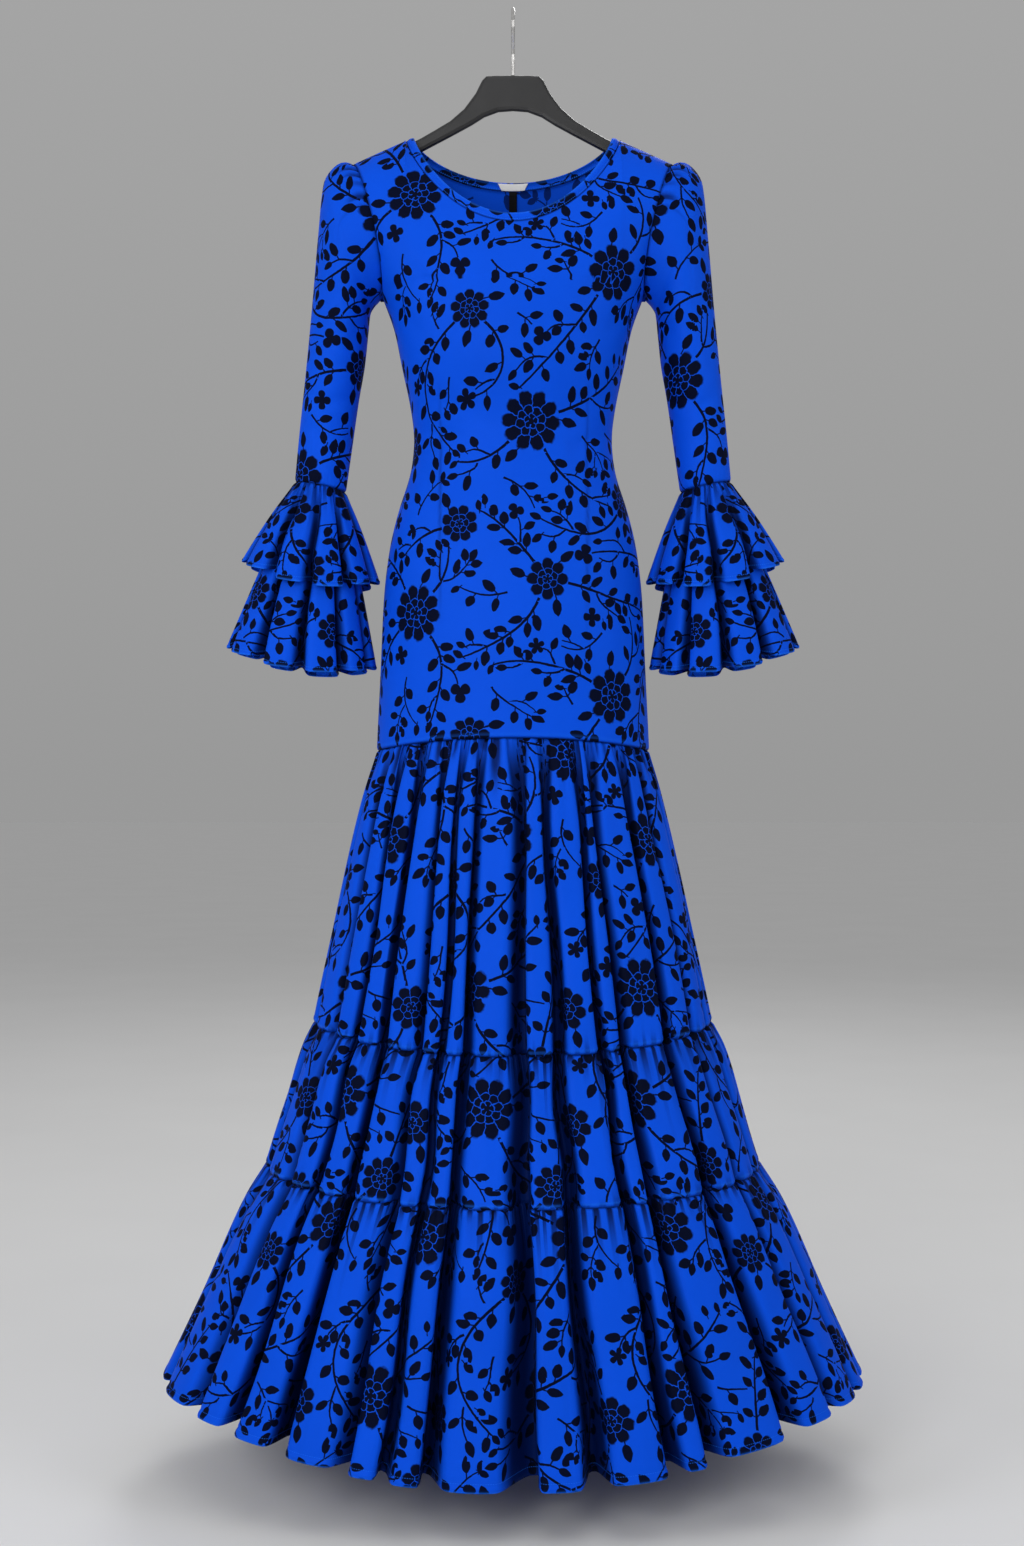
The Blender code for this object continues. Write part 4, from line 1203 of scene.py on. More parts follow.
@dataclass(frozen=True)
class BodyShape:
    """The form of the fitted body from the shoulders to the hip seam.

    Attributes:
        power: Superellipse power of its level sections.
        hip_rise: How far the hip seam's centre lies above its sides.
        hip_rise_height: Height over which that rise dies away.
        neck_half: Half width of the neckline.
        neck_z: Height of the neckline at the shoulders.
        neck_drop: Its drop to the centre, before and behind.
        neck_depth: Its depth, before and behind.
        neck_power: Shape of its fall towards the centre.
        neck_round: Shape of the neckline seen from above.
        neck_lean: How far the cloth leans out for each millimetre that it falls from the neck.
        band: Width of the turned band.
        tip: Shoulder tip, as x and z.
        shoulder_column: Column that ends where the shoulder seam meets the neck.
        shoulder_round: Power that arches the cloth over the hanger.
        round_from: Share of the neckline where that arch sets in.
        underarm_z: Height of the underarm.
        armhole_depth: Depth of the armholes, before and behind.
        armhole_bow: How far the armholes bow in, before and behind.
        levels: The level sections, from the hip seam up.
    """

    power: float = 2.2
    hip_rise: float = 12.6
    hip_rise_height: float = 260.0
    neck_half: float = 113.9
    neck_z: float = -144.8
    neck_drop: tuple[float, float] = (107.5, 38.7)
    neck_depth: tuple[float, float] = (80.0, 45.0)
    neck_power: float = 1.5
    neck_round: float = 0.9
    neck_lean: float = 0.22
    band: float = 10.0
    tip: tuple[float, float] = (184.0, -175.8)
    shoulder_column: float = 0.62
    shoulder_round: float = 0.5
    round_from: float = 0.55
    underarm_z: float = -327.6
    armhole_depth: tuple[float, float] = (54.0, 50.0)
    armhole_bow: tuple[float, float] = (9.5, 6.0)
    levels: tuple[BodyLevel, ...] = records(
        BodyLevel,
        (-848.6, 156.4, 113.0, 113.0), (-756.0, 151.8, 113.0, 114.0), (-676.0, 148.2, 112.0, 114.0),
        (-618.6, 141.5, 107.0, 107.0), (-572.6, 130.5, 98.0, 95.0), (-526.6, 116.2, 89.0, 82.0),
        (-492.0, 113.2, 88.0, 80.0), (-457.6, 117.3, 98.0, 84.0), (-411.6, 127.1, 113.0, 91.0),
        (-365.0, 136.5, 115.0, 96.0), (-327.6, 150.7, 108.0, 97.0),
    )

    def pick(self, face: Face, pair: tuple[float, float]) -> float:
        """Return the size that belongs to the front or the back."""
        return pair[0] if face is Face.FRONT else pair[1]

    def level_points(self, face: Face, columns: np.ndarray, heights: np.ndarray) -> np.ndarray:
        """Return rows of points at level sections; columns run from -1 at one side seam to 1 at the other."""
        table = np.array(self.levels)
        sizes = eased(table[:, 0], table[:, 1:], heights)
        angle = np.abs(columns) * math.pi / 2
        share = 2.0 / self.power
        x = np.sign(columns) * sizes[:, :1] * power(np.sin(angle), share)
        depth = sizes[:, 1:2] if face is Face.FRONT else sizes[:, 2:3]
        y = face.value * depth * power(np.cos(angle), share)
        rise = self.hip_rise * np.maximum(0.0, 1.0 - (heights - self.levels[0].z) / self.hip_rise_height)
        z = heights[:, None] + rise[:, None] * np.cos(angle) ** 2
        return np.stack([x, y, z], axis=2)

    def neck_points(self, face: Face, shares: np.ndarray, grow: float) -> np.ndarray:
        """Return the neckline, or the same line further out on the cloth.

        Args:
            face: Front or back.
            shares: Places from -1 at one shoulder to 1 at the other.
            grow: How far below the edge the line runs.

        Returns:
            One point for each share.
        """
        angle = np.abs(shares) * math.pi / 2
        slope = math.atan((self.tip[1] - self.neck_z) / (self.tip[0] - self.neck_half))
        reach = self.neck_half + grow * math.cos(slope)
        shoulder_z = self.neck_z + grow * math.sin(slope)
        centre_z = self.neck_z - self.pick(face, self.neck_drop) - grow
        depth = self.pick(face, self.neck_depth) + self.neck_lean * grow
        x = np.sign(shares) * reach * np.sin(angle)
        z = shoulder_z + (centre_z - shoulder_z) * power(np.cos(angle), self.neck_power)
        y = face.value * depth * power(np.cos(angle), self.neck_round)
        return np.stack([x, y, z], axis=1)

    def top_points(self, face: Face, columns: np.ndarray) -> np.ndarray:
        """Return a panel's top edge: the neckline below the band, then the shoulder seam."""
        grow = self.band + 0.1
        inside = np.clip(columns / self.shoulder_column, -1.0, 1.0)
        points = self.neck_points(face, inside, grow)
        beyond = np.abs(columns) - self.shoulder_column
        share = np.clip(beyond / (1.0 - self.shoulder_column), 0.0, 1.0)[:, None]
        sign = np.sign(columns)
        tip = np.stack([sign * self.tip[0], np.zeros_like(sign), np.full_like(sign, self.tip[1])], axis=1)
        return points + (tip - points) * share

    def upper_points(self, face: Face, columns: np.ndarray, rises: np.ndarray) -> np.ndarray:
        """Return rows of points above the underarm, whose depth runs from the underarm's section to the
        armhole's own at the edge and arches to nothing over the shoulder seam."""
        low = self.level_points(face, columns, np.array([self.underarm_z]))[0]
        top = self.top_points(face, columns)
        rise = rises[:, None]
        points = low[None] + (top - low)[None] * rise[..., None]
        centre = self.levels[-1].front if face is Face.FRONT else self.levels[-1].back
        edge = 2.0 * self.pick(face, self.armhole_depth) * np.sqrt(rise)
        across = np.cos(np.abs(columns) * math.pi / 2)[None]
        base = edge + (centre - edge) * power(across, 2.0 / self.power)
        beyond = np.abs(columns) / self.shoulder_column - self.round_from
        shoulder = np.clip(beyond / (1.0 - self.round_from), 0.0, 1.0)
        exponent = (1.0 - (1.0 - self.shoulder_round) * shoulder)[None]
        points[..., 1] = top[None, :, 1] + (face.value * base - top[None, :, 1]) * power(1.0 - rise, exponent)
        bow = self.pick(face, self.armhole_bow) * 2.0 * np.sqrt(np.maximum(rise * (1.0 - rise), 0.0))
        points[..., 0] -= np.sign(columns)[None] * bow * np.abs(columns)[None] ** 4
        return points

    def rows(self, face: Face, columns: np.ndarray, upper: int, spacing: float) -> np.ndarray:
        """Return a panel's rows of points from the neck and shoulder down to the hip seam.

        Args:
            face: Front or back.
            columns: Its columns, from -1 to 1.
            upper: Rows above the underarm.
            spacing: Distance between the rows below it.

        Returns:
            The rows.
        """
        angle = np.linspace(math.pi, 0.0, upper, endpoint=False)
        above = self.upper_points(face, columns, (1.0 - np.cos(angle)) / 2)
        length = self.underarm_z - self.levels[0].z
        near_hip = length - np.array((11.0, 8.0, 5.5, 3.4, 1.8, 0.7, 0.0))
        down = np.concatenate([np.arange(0.0, length - 12.0, spacing), near_hip])
        return np.concatenate([above, self.level_points(face, columns, self.underarm_z - down)])


@dataclass
class Bodice:
    """The fitted front and the two halves of the back.

    Attributes:
        shape: The form of the body.
        slit: Half the width of the opening that shows the zip's teeth.
        spacing: Distance between rows below the underarm.
        upper: Rows above the underarm.
        columns: Columns of one half of a panel.
        puckers: Small folds above the hip seam.
        front_cut: How the front is cut.
        back_cut: How the halves of the back are cut.
        front_darts: The front's darts.
        back_darts: The darts of the back's right half; the left half mirrors them.
        front_creases: The front's creases, by the place across and below the hook.
        back_creases: The creases of the back's right half.
    """

    shape: BodyShape = field(default_factory=BodyShape)
    slit: float = 1.3
    spacing: float = 4.0
    upper: int = 62
    columns: int = 68
    puckers: Gathers = Gathers(62, 0.55, 6.0, 22.0, 31, 1.0)
    front_cut: Cut = Cut(1.0, (176.0, 300.0), "hung", "hanger_body")
    back_cut: Cut = Cut(1.0, (120.0, 180.0), "hung", "hanger_body")
    front_darts: tuple[Crease, ...] = records(
        Crease,
        (-82.0, 440.0, -80.0, 712.0, 1.0, 1.7), (84.0, 436.0, 82.0, 726.0, 1.0, 1.7),
    )
    back_darts: tuple[Crease, ...] = (Crease(74.0, 440.0, 76.0, 700.0, 1.0, 1.7),)
    front_creases: tuple[Crease, ...] = records(
        Crease,
        # drags at the waist
        (-112.0, 486.0, -52.0, 506.0, 2.4, 8.0), (112.0, 492.0, 60.0, 516.0, 2.5, 8.0),
        (-112.0, 520.0, -66.0, 514.0, 1.9, 7.0), (112.0, 530.0, 58.0, 536.0, 2.0, 8.0),
        (-106.0, 456.0, -30.0, 474.0, 1.4, 10.0), (104.0, 450.0, 34.0, 486.0, 1.5, 11.0),
        # drags from the armholes over the bust
        (-128.0, 300.0, -72.0, 352.0, 2.2, 9.0), (130.0, 296.0, 76.0, 356.0, 2.1, 10.0),
        (-140.0, 336.0, -100.0, 392.0, 1.8, 8.0), (140.0, 332.0, 104.0, 388.0, 1.9, 8.0),
        # ease at the hips
        (-58.0, 720.0, -44.0, 832.0, 0.9, 12.0), (34.0, 712.0, 22.0, 836.0, 0.8, 14.0),
        (-128.0, 690.0, -118.0, 826.0, 1.0, 11.0), (126.0, 700.0, 116.0, 832.0, 1.0, 11.0),
    )
    back_creases: tuple[Crease, ...] = records(
        Crease,
        (110.0, 478.0, 34.0, 496.0, 2.4, 9.0), (110.0, 516.0, 44.0, 510.0, 2.1, 9.0),
        (112.0, 548.0, 40.0, 534.0, 1.4, 10.0), (8.0, 470.0, 48.0, 490.0, 1.3, 9.0),
        (132.0, 300.0, 70.0, 372.0, 2.0, 11.0), (92.0, 700.0, 78.0, 826.0, 0.9, 13.0),
        (40.0, 716.0, 48.0, 820.0, 0.8, 12.0),
    )

    def half_columns(self) -> np.ndarray:
        """Return the columns of the right half, closer together by the edges."""
        neck = self.shape.shoulder_column
        inner = round(self.columns * neck)
        outer = self.columns - inner
        side = neck + (1.0 - neck) * (1.0 - np.linspace(1.0, 0.0, outer) ** 1.15)
        return np.concatenate([np.linspace(0.0, neck, inner, endpoint=False), side])

    def lay_flat(self, points: np.ndarray, centre: int) -> np.ndarray:
        """Return where each point of a panel lay on the flat cloth, measured across from its centre line."""
        steps = np.linalg.norm(np.diff(points[..., :2], axis=1), axis=2)
        across = np.concatenate([np.zeros((len(points), 1)), np.cumsum(steps, axis=1)], axis=1)
        across -= across[:, centre][:, None]
        return np.stack([across, -points[..., 2]], axis=2)

    def finish_panel(self, cloth: Cloth, creases: Sequence[Crease], darts: Sequence[Crease],
                     sides: Sequence[Side]) -> None:
        """Press a panel's creases, its darts, the puckers above the hip and the tucked edges into it.

        Args:
            cloth: The panel.
            creases: Its creases.
            darts: Its darts.
            sides: At which sides its edge turns in at the side seam and the armhole.
        """
        cloth.relax(14)
        across = run_along(cloth.points, 1)
        from_top = run_along(cloth.points, 0)
        from_hip = from_top[-1:] - from_top
        beside = np.minimum(across, across[:, -1:] - across)
        places = cloth.points[..., 0], -cloth.points[..., 2]
        sewn = sum(dart.inset(*places) for dart in darts)
        ease = sum(dart._replace(half=3.2 * dart.half).inset(*places) for dart in darts)
        depth = sum(crease.inset(*places) for crease in creases) + sewn - 0.6 * ease
        middle = len(across[-1]) // 2
        depth = depth + self.puckers.inset(across[-1] / across[-1, -1], from_hip[:, middle], False)
        depth = depth + tucked(from_hip, 1.1, 1.6) + tucked(from_top, 0.5, 1.5) + tucked(beside, 0.7, 1.6)
        cloth.press(depth)
        # Painted shade along the tucked edges and in the darts, and a painted highlight on the roll above the
        # hip seam
        cloth.shade(tucked(np.minimum(np.minimum(from_hip, from_top), beside), 0.75, 1.1))
        cloth.shade(0.5 * sewn)
        cloth.light(tucked(from_hip - 3.4, 0.2, 1.4))
        for side in sides:
            cloth.allow(side is Side.LEFT, 1.0, 5.5, axis=1)
        cloth.allow(True, 1.6, 0.5)
        cloth.allow(False, 2.0, 2.0)

    def build(self, tailor: Tailor, zip_pieces: Sequence[bpy.types.Object]) -> None:
        """Make the three panels.

        Args:
            tailor: Who sews them.
            zip_pieces: The zip's tape and coil, which lie on the back; not used.
        """
        half = self.half_columns()
        points = self.shape.rows(Face.FRONT, np.concatenate([-half[:0:-1], half]), self.upper, self.spacing)
        front = Cloth(points, self.lay_flat(points, len(half) - 1), False)
        self.finish_panel(front, self.front_creases, self.front_darts, tuple(Side))
        tailor.sew("bodice_front", front, self.front_cut)
        for side in (Side.RIGHT, Side.LEFT):
            points = self.shape.rows(Face.BACK, half, self.upper, self.spacing)
            points[..., 0] = side.value * np.maximum(points[..., 0], self.slit)
            right = side is Side.RIGHT
            if right:
                points = points[:, ::-1]
            cloth = Cloth(points, self.lay_flat(points, len(half) - 1 if right else 0), False)
            creases = [crease.on(side) for crease in self.back_creases]
            darts = [dart.on(side) for dart in self.back_darts]
            self.finish_panel(cloth, creases, darts, (Side.LEFT if right else Side.RIGHT,))
            tailor.sew("bodice_back", cloth, self.back_cut, f"_{side.letter}")


# ---- Fluted tubes: ruffles and skirt tiers ----
class Flute(NamedTuple):
    """One large fold: its width as degrees of the ring, and its depth as a share of the cloth's."""

    width: float
    depth: float


@dataclass(frozen=True)
class Fluting:
    """The large folds round a gathered tube.

    Attributes:
        flutes: The folds, in order.
        start: Where the first begins, in degrees.
        seed: Seed of their unevenness.
        square: How far a fold has a flat ridge and steep sides, from 0 to 1.
        deepen: How much deeper the narrow valleys are.
        curl: How far a ridge bulges sideways over its valleys, as a share of its depth.
        curl_most: The most that it may, as a share of its width.
        lean: How far a valley may lean to one side, as a share of its depth.
        wander: How far a fold may stray from its line, in millimetres.
    """

    flutes: tuple[Flute, ...]
    start: float
    seed: int
    square: float = 0.7
    deepen: float = 1.12
    curl: float = 0.30
    curl_most: float = 0.15
    lean: float = 0.30
    wander: float = 3.0

    def edges(self) -> np.ndarray:
        """Return where the folds meet, in degrees from the start."""
        return np.concatenate([[0.0], np.cumsum([flute.width for flute in self.flutes])])

    def locate(self, places: np.ndarray) -> tuple[np.ndarray, np.ndarray]:
        """Return the fold that each place lies in, and its share of that fold's width."""
        edges = self.edges()
        index = np.clip(np.searchsorted(edges, places, side="right") - 1, 0, len(self.flutes) - 1)
        return index, (places - edges[index]) / (edges[index + 1] - edges[index])

    def hollow(self, places: np.ndarray, depth: np.ndarray) -> np.ndarray:
        """Return painted shade by how deep points lie between the folds, from 0 to 1."""
        crest = (1.0 + np.cos(math.tau * self.locate(places)[1])) / 2
        return smooth((crest - 0.34) / 0.28)[None] * smooth(depth / 10.0)[:, None]

    def ridges(self, places: np.ndarray) -> np.ndarray:
        """Return for each column, and for the one that closes the ring, the column at its fold's ridge."""
        edges = self.edges()
        columns = np.searchsorted(places, (edges[1:] + edges[:-1]) / 2)
        return columns[np.append(self.locate(places)[0], len(self.flutes) - 1)]

    def shift(self, places: np.ndarray, depth: np.ndarray, around: float,
              down: np.ndarray) -> tuple[np.ndarray, np.ndarray]:
        """Return how far the folds move each point in, and how far along the ring.

        Args:
            places: Place of each column, in degrees from the start.
            depth: Depth of a whole fold at each row.
            around: Length of the ring without its folds.
            down: Place of each row between the seams, from 0 to 1.

        Returns:
            Two grids of distances.
        """
        index, share = self.locate(places)
        own = np.array([flute.depth for flute in self.flutes])
        valley = (own + np.roll(own, 1)) / 2
        width = np.array([flute.width for flute in self.flutes]) * around / 360.0
        random = np.random.default_rng(self.seed)
        lean = random.uniform(-self.lean, self.lean, len(own))
        stray = random.uniform(-self.wander, self.wander, (2, len(own)))
        after = (index + 1) % len(own)
        crest = (1.0 + np.cos(math.tau * share)) / 2
        near = np.where(share < 0.5, valley[index], valley[after])
        whole = own[index] + (near - own[index]) * crest
        profile = self.square * smooth((crest - 0.32) / 0.6) + (1.0 - self.square) * crest ** 1.7
        inset = self.deepen * (whole * profile)[None] * depth[:, None]
        bulge = np.minimum(self.curl * depth[:, None] * own[index][None], self.curl_most * width[index][None])
        side_lean = np.where(share < 0.5, lean[index], lean[after])
        sideways = inset * side_lean[None] - bulge * np.sin(math.tau * share)[None]
        eased_share = smooth(share)
        for order, amounts in enumerate(stray, start=1):
            line = amounts[index] + (amounts[after] - amounts[index]) * eased_share
            reach = np.sin(math.pi * order * down) * np.minimum(1.0, depth / 12.0)
            sideways = sideways + line[None] * reach[:, None]
        return inset, sideways


def spread_evenly(curve: np.ndarray, places: np.ndarray, count: int) -> np.ndarray:
    """Return a count of places evenly along a closed curve, from its points' places and its end."""
    length = run_along(np.vstack([curve, curve[:1]])[None], 1)[0]
    return np.interp(np.arange(count) * length[-1] / count, length, places)


def lay_tube_flat(points: np.ndarray, ridges: np.ndarray) -> np.ndarray:
    """Return where the points of a tube lay on its flat cloth.

    Each fold's ridge runs straight down the cloth.  What the gathers take up lies hidden in the valleys.

    Args:
        points: Rows of points.
        ridges: For each column, the column at the ridge of its fold.

    Returns:
        The flat places, with one column more than the points.
    """
    ring = closed(points)
    around = run_along(ring, 1)
    across = around[-1, ridges][None] + around - around[:, ridges]
    down = run_along(ring, 0)
    middle = down[:, points.shape[1] // 4]
    down = middle[:, None] + (down - middle[:, None]) * 0.6
    return np.stack([across, down], axis=2)


@dataclass
class FoldedTube:
    """What a tier of the skirt and a ruffle of a cuff have in common: rings of cloth in large folds.

    Attributes:
        name: The start of its piece's name.
        levels: Its rings.
        columns: Columns of its cloth.
        spacing: Distance between its rows.
        gathers: The small folds below its gathered seam.
        shift: Where on the repeat it was cut.
        height_at: Which size of a ring is its height.
        near: Distances from each end of the rows close to it.
        samples: How closely the hem's ring is measured.
    """

    name: str
    levels: tuple
    columns: int
    spacing: float
    gathers: Gathers
    shift: tuple[float, float]
    height_at: ClassVar[int]
    near: ClassVar[tuple[float, ...]]
    samples: ClassVar[int]

    def folded(self, points: np.ndarray, out: np.ndarray, inset: np.ndarray,
               sideways: np.ndarray) -> np.ndarray:
        """Return rings moved in against their outward directions, and along the ring."""
        beside = np.stack([-out[..., 1], out[..., 0], out[..., 2]], axis=2)
        return points - out * inset[..., None] + beside * sideways[..., None]

    def drape(self, fluting: Fluting) -> tuple[Cloth, np.ndarray, np.ndarray, np.ndarray]:
        """Lay cloth over the large folds, with its columns spread evenly along the hem.

        Args:
            fluting: The large folds.

        Returns:
            The cloth, the rows' distances from the top, their sizes, and the columns' places in degrees.
        """
        table = np.array(self.levels)
        knots = table[0, self.height_at] - table[:, self.height_at]
        distance = row_places(float(knots[-1]), self.spacing, self.near)
        sizes = eased(knots, table, distance)
        down = distance / distance[-1]
        dense = np.linspace(0.0, 360.0, self.samples)
        places = spread_evenly(self.fold(sizes[-1:], dense[:-1], fluting, down[-1:])[0], dense, self.columns)
        return Cloth(self.fold(sizes, places, fluting, down)), distance, sizes, places


class SkirtLevel(NamedTuple):
    """One ring of a tier: height and half width at its sides, depth and height at centre front, depth at
    centre back, depth of its folds from ridge to valley, and the power by which it sags to the centre."""

    z_side: float
    half_width: float
    front: float
    z_front: float
    back: float
    flute: float
    sag: float


@dataclass
class SkirtTier(FoldedTube):
    """One gathered tier of the skirt.

    Attributes:
        on: The piece that it is gathered onto.
        hemmed: Whether its lower edge is a hem, and not a seam.
        section: Superellipse power of its rings.
        back_drop: The back hem's drop as a share of the front's.
        thick: Thickness of the cloth.
        hem_line: Distance of the hem's stitches from its edge.
        fine: Count of the finest gathers round its seams.
        pinch: How strongly they show below the upper seam.
        gather_shade: How dark the painted shade in the small folds' valleys is.
        soft: Depth of the soft folds that run over the tier's height.
    """

    on: str
    hemmed: bool = False
    section: float = 2.2
    back_drop: float = 0.85
    thick: float = 0.9
    hem_line: float = 9.0
    fine: int = 190
    pinch: float = 1.0
    gather_shade: float = 0.3
    soft: float = 2.2
    height_at = 0
    near = (0.0, 0.7, 1.8, 3.4, 5.5, 8.0, 11.0, 15.0)
    samples = 14401

    def ring(self, sizes: np.ndarray, angle: np.ndarray) -> tuple[np.ndarray, np.ndarray]:
        """Return rings of points without folds, and their unit directions outwards.

        Args:
            sizes: A level for each row.
            angle: The direction of each column, in radians.

        Returns:
            Two grids of points.
        """
        level = SkirtLevel(*sizes.T[..., None])
        cosine, sine = np.cos(angle)[None], np.sin(angle)[None]
        depth = np.where(sine > 0.0, level.front, level.back)
        fall = level.z_front - level.z_side
        fall = np.where((fall < 0.0) & (sine <= 0.0), fall * self.back_drop, fall)
        share = 2.0 / self.section
        x = np.sign(cosine) * level.half_width * np.abs(cosine) ** share
        y = -np.sign(sine) * depth * np.abs(sine) ** share
        z = level.z_side + fall * np.abs(sine) ** level.sag
        out = np.stack([cosine / level.half_width, -sine / depth, np.zeros_like(x)], axis=2)
        return np.stack([x, y, z], axis=2), out / np.linalg.norm(out, axis=2, keepdims=True)

    def fold(self, sizes: np.ndarray, places: np.ndarray, fluting: Fluting, down: np.ndarray) -> np.ndarray:
        """Return rows of points with their large folds."""
        around = math.pi * float(sizes[-1, 1] + (sizes[-1, 2] + sizes[-1, 4]) / 2)
        rings = self.ring(sizes, np.radians(fluting.start - places))
        return self.folded(*rings, *fluting.shift(places, sizes[:, 5], around, down))

    def cloth(self, fluting: Fluting) -> Cloth:
        """Return the tier's cloth.

        Args:
            fluting: The skirt's large folds.

        Returns:
            Its grid.
        """
        cloth, distance, sizes, places = self.drape(fluting)
        share = np.arange(self.columns) / self.columns
        middle = run_along(cloth.points, 0)[:, self.columns // 4]
        edge = middle[-1] - middle
        gathered = self.gathers.inset(share, middle, True)
        depth = gathered + self.soft_folds(share, distance / distance[-1])
        depth = depth + rolled(middle, (Tuck(0.0, 1.6, 2.0),))
        if self.hemmed:
            rolls = Tuck(0.0, 0.9, 1.5), Tuck(3.4, -0.5, 2.4), Tuck(self.hem_line, 0.6, 1.5)
            catch, seam, above = Tuck(0.0, 0.8, 1.3), middle, np.full_like(middle, FAR)
            cloth.hem = edge - self.hem_line
        else:
            rolls = Tuck(0.0, 1.2, 1.8), Tuck(4.5, -0.5, 2.4)
            catch, seam = Tuck(3.0, 0.4, 1.4), np.minimum(middle, edge)
            above = edge * 4.0
            low = Gathers(self.gathers.count, 0.8, 3.0, 12.0, self.gathers.seed + 50, 1.0)
            depth = depth + low.inset(share, edge, True)
        cloth.press(depth + rolled(edge, rolls))
        # Painted shade between the large folds, in the small folds and along the seam, and a painted
        # highlight along the rolled edge
        cloth.shade(fluting.hollow(places, sizes[:, 5]))
        cloth.shade(self.gather_shade * smooth((gathered / self.gathers.depth - 0.3) / 0.45))
        cloth.shade(tucked(seam, 0.8, 1.1)[:, None])
        cloth.light(rolled(edge, (catch,)))
        cloth.flat = lay_tube_flat(cloth.points, fluting.ridges(places))
        cloth.gathers = self.fine
        shows = np.where(middle < above, self.pinch, 0.6)
        cloth.seams = np.stack([np.minimum(middle, above), shows], axis=1)
        if not self.hemmed:
            cloth.allow(False, 2.0, 1.4)
        cloth.allow(True, 2.0, 2.0)
        return cloth

    def soft_folds(self, share: np.ndarray, down: np.ndarray) -> np.ndarray:
        """Return uneven shallow folds that come and go over the tier's height."""
        random = np.random.default_rng(self.gathers.seed + 9)
        total = np.zeros((len(down), len(share)))
        for _ in range(26):
            count, turn = random.integers(9, 46), random.uniform(0.0, math.tau)
            slope, middle = random.uniform(-1.6, 1.6), random.uniform(0.2, 0.9)
            window = np.exp(-((down - middle) / random.uniform(0.18, 0.4)) ** 2)
            wave = np.cos(math.tau * count * share[None] + slope * down[:, None] + turn)
            total += window[:, None] * wave * random.uniform(0.3, 1.0)
        return total * self.soft / 5.0

    def build(self, tailor: Tailor, fluting: Fluting) -> None:
        """Sew the tier onto what is above it."""
        tailor.sew(self.name, self.cloth(fluting), Cut(self.thick, self.shift, "gathered", self.on))


SKIRT_FOLDS = Fluting(records(
    Flute,
    # front, from the left side seam
    (19.5, 1.0), (19.0, 1.05), (11.5, 0.95), (11.5, 0.85), (12.0, 1.1), (7.0, 0.7), (6.5, 0.6), (12.0, 1.15),
    (9.5, 0.9), (13.5, 1.1), (5.0, 0.5), (18.5, 1.2), (13.0, 0.9), (12.5, 1.0), (9.0, 0.75), (16.0, 1.0),
    # back, from the right side seam
    (12.0, 0.95), (14.0, 1.1), (9.0, 0.8), (15.0, 1.15), (11.0, 0.9), (13.0, 1.0), (8.0, 0.7), (15.0, 1.1),
    (12.0, 0.95), (10.0, 0.85), (14.0, 1.05), (9.0, 0.8), (12.0, 1.0), (10.0, 0.85),
), 188.0, 11, deepen=1.15, curl=0.30, curl_most=0.115)

SKIRT_TIERS = (
    SkirtTier("skirt_tier_1", records(
        SkirtLevel,
        (-848.9, 156.4, 113.0, -836.3, 113.0, 2.4, 2.0), (-892.0, 169.5, 121.5, -883.0, 121.0, 10.0, 2.0),
        (-978.0, 190.0, 135.0, -979.0, 132.0, 20.0, 2.0), (-1071.0, 210.0, 148.0, -1083.0, 143.0, 25.0, 2.0),
        (-1158.7, 228.5, 160.0, -1178.7, 153.0, 25.0, 2.0),
    ), 660, 6.2, Gathers(92, 4.0, 26.0, 150.0, 61, 0.9, 0.6), (0.0, 40.0), "bodice_front_cloth",
       pinch=0.0, gather_shade=0.95),
    SkirtTier("skirt_tier_2", records(
        SkirtLevel,
        (-1159.0, 228.5, 160.0, -1179.0, 153.0, 25.0, 2.0),
        (-1186.0, 241.5, 170.0, -1206.0, 162.0, 28.0, 2.0),
        (-1249.0, 260.5, 190.0, -1268.0, 180.0, 30.0, 2.0),
        (-1319.7, 282.9, 212.0, -1331.4, 199.0, 30.0, 2.0),
    ), 720, 5.6, Gathers(96, 3.2, 16.0, 100.0, 62, 0.5, 0.55), (190.0, 260.0), "skirt_tier_1_cloth"),
    SkirtTier("skirt_tier_3", records(
        SkirtLevel,
        (-1320.0, 282.9, 212.0, -1331.7, 199.0, 30.0, 2.0),
        (-1362.0, 309.0, 226.0, -1386.0, 211.0, 36.0, 2.0),
        (-1461.0, 353.5, 248.0, -1494.0, 230.0, 43.0, 2.7),
        (-1559.3, 399.5, 270.0, -1607.8, 250.0, 48.0, 3.5),
    ), 860, 5.8, Gathers(104, 3.2, 18.0, 120.0, 63, 0.5, 0.55), (70.0, 120.0), "skirt_tier_2_cloth",
       hemmed=True, fine=265),
)


# ---- Sleeves and cuffs ----
class SleeveLevel(NamedTuple):
    """One ring of the right sleeve: its outer and inner points seen from the front, its half depths, and its
    share of the armhole's bow."""

    x_outer: float
    z_outer: float
    x_inner: float
    z_inner: float
    front: float
    back: float
    bow: float


def mirrored(cloth: Cloth, side: Side) -> Cloth:
    """Return a tube of the right side, or its mirror image for the left."""
    if side is Side.RIGHT:
        return cloth
    hollow = None if cloth.hollow is None else cloth.hollow[:, ::-1]
    points = (cloth.points * np.array((-1.0, 1.0, 1.0)))[:, ::-1]
    return replace(cloth, points=points, flat=cloth.flat[:, ::-1], hollow=hollow)


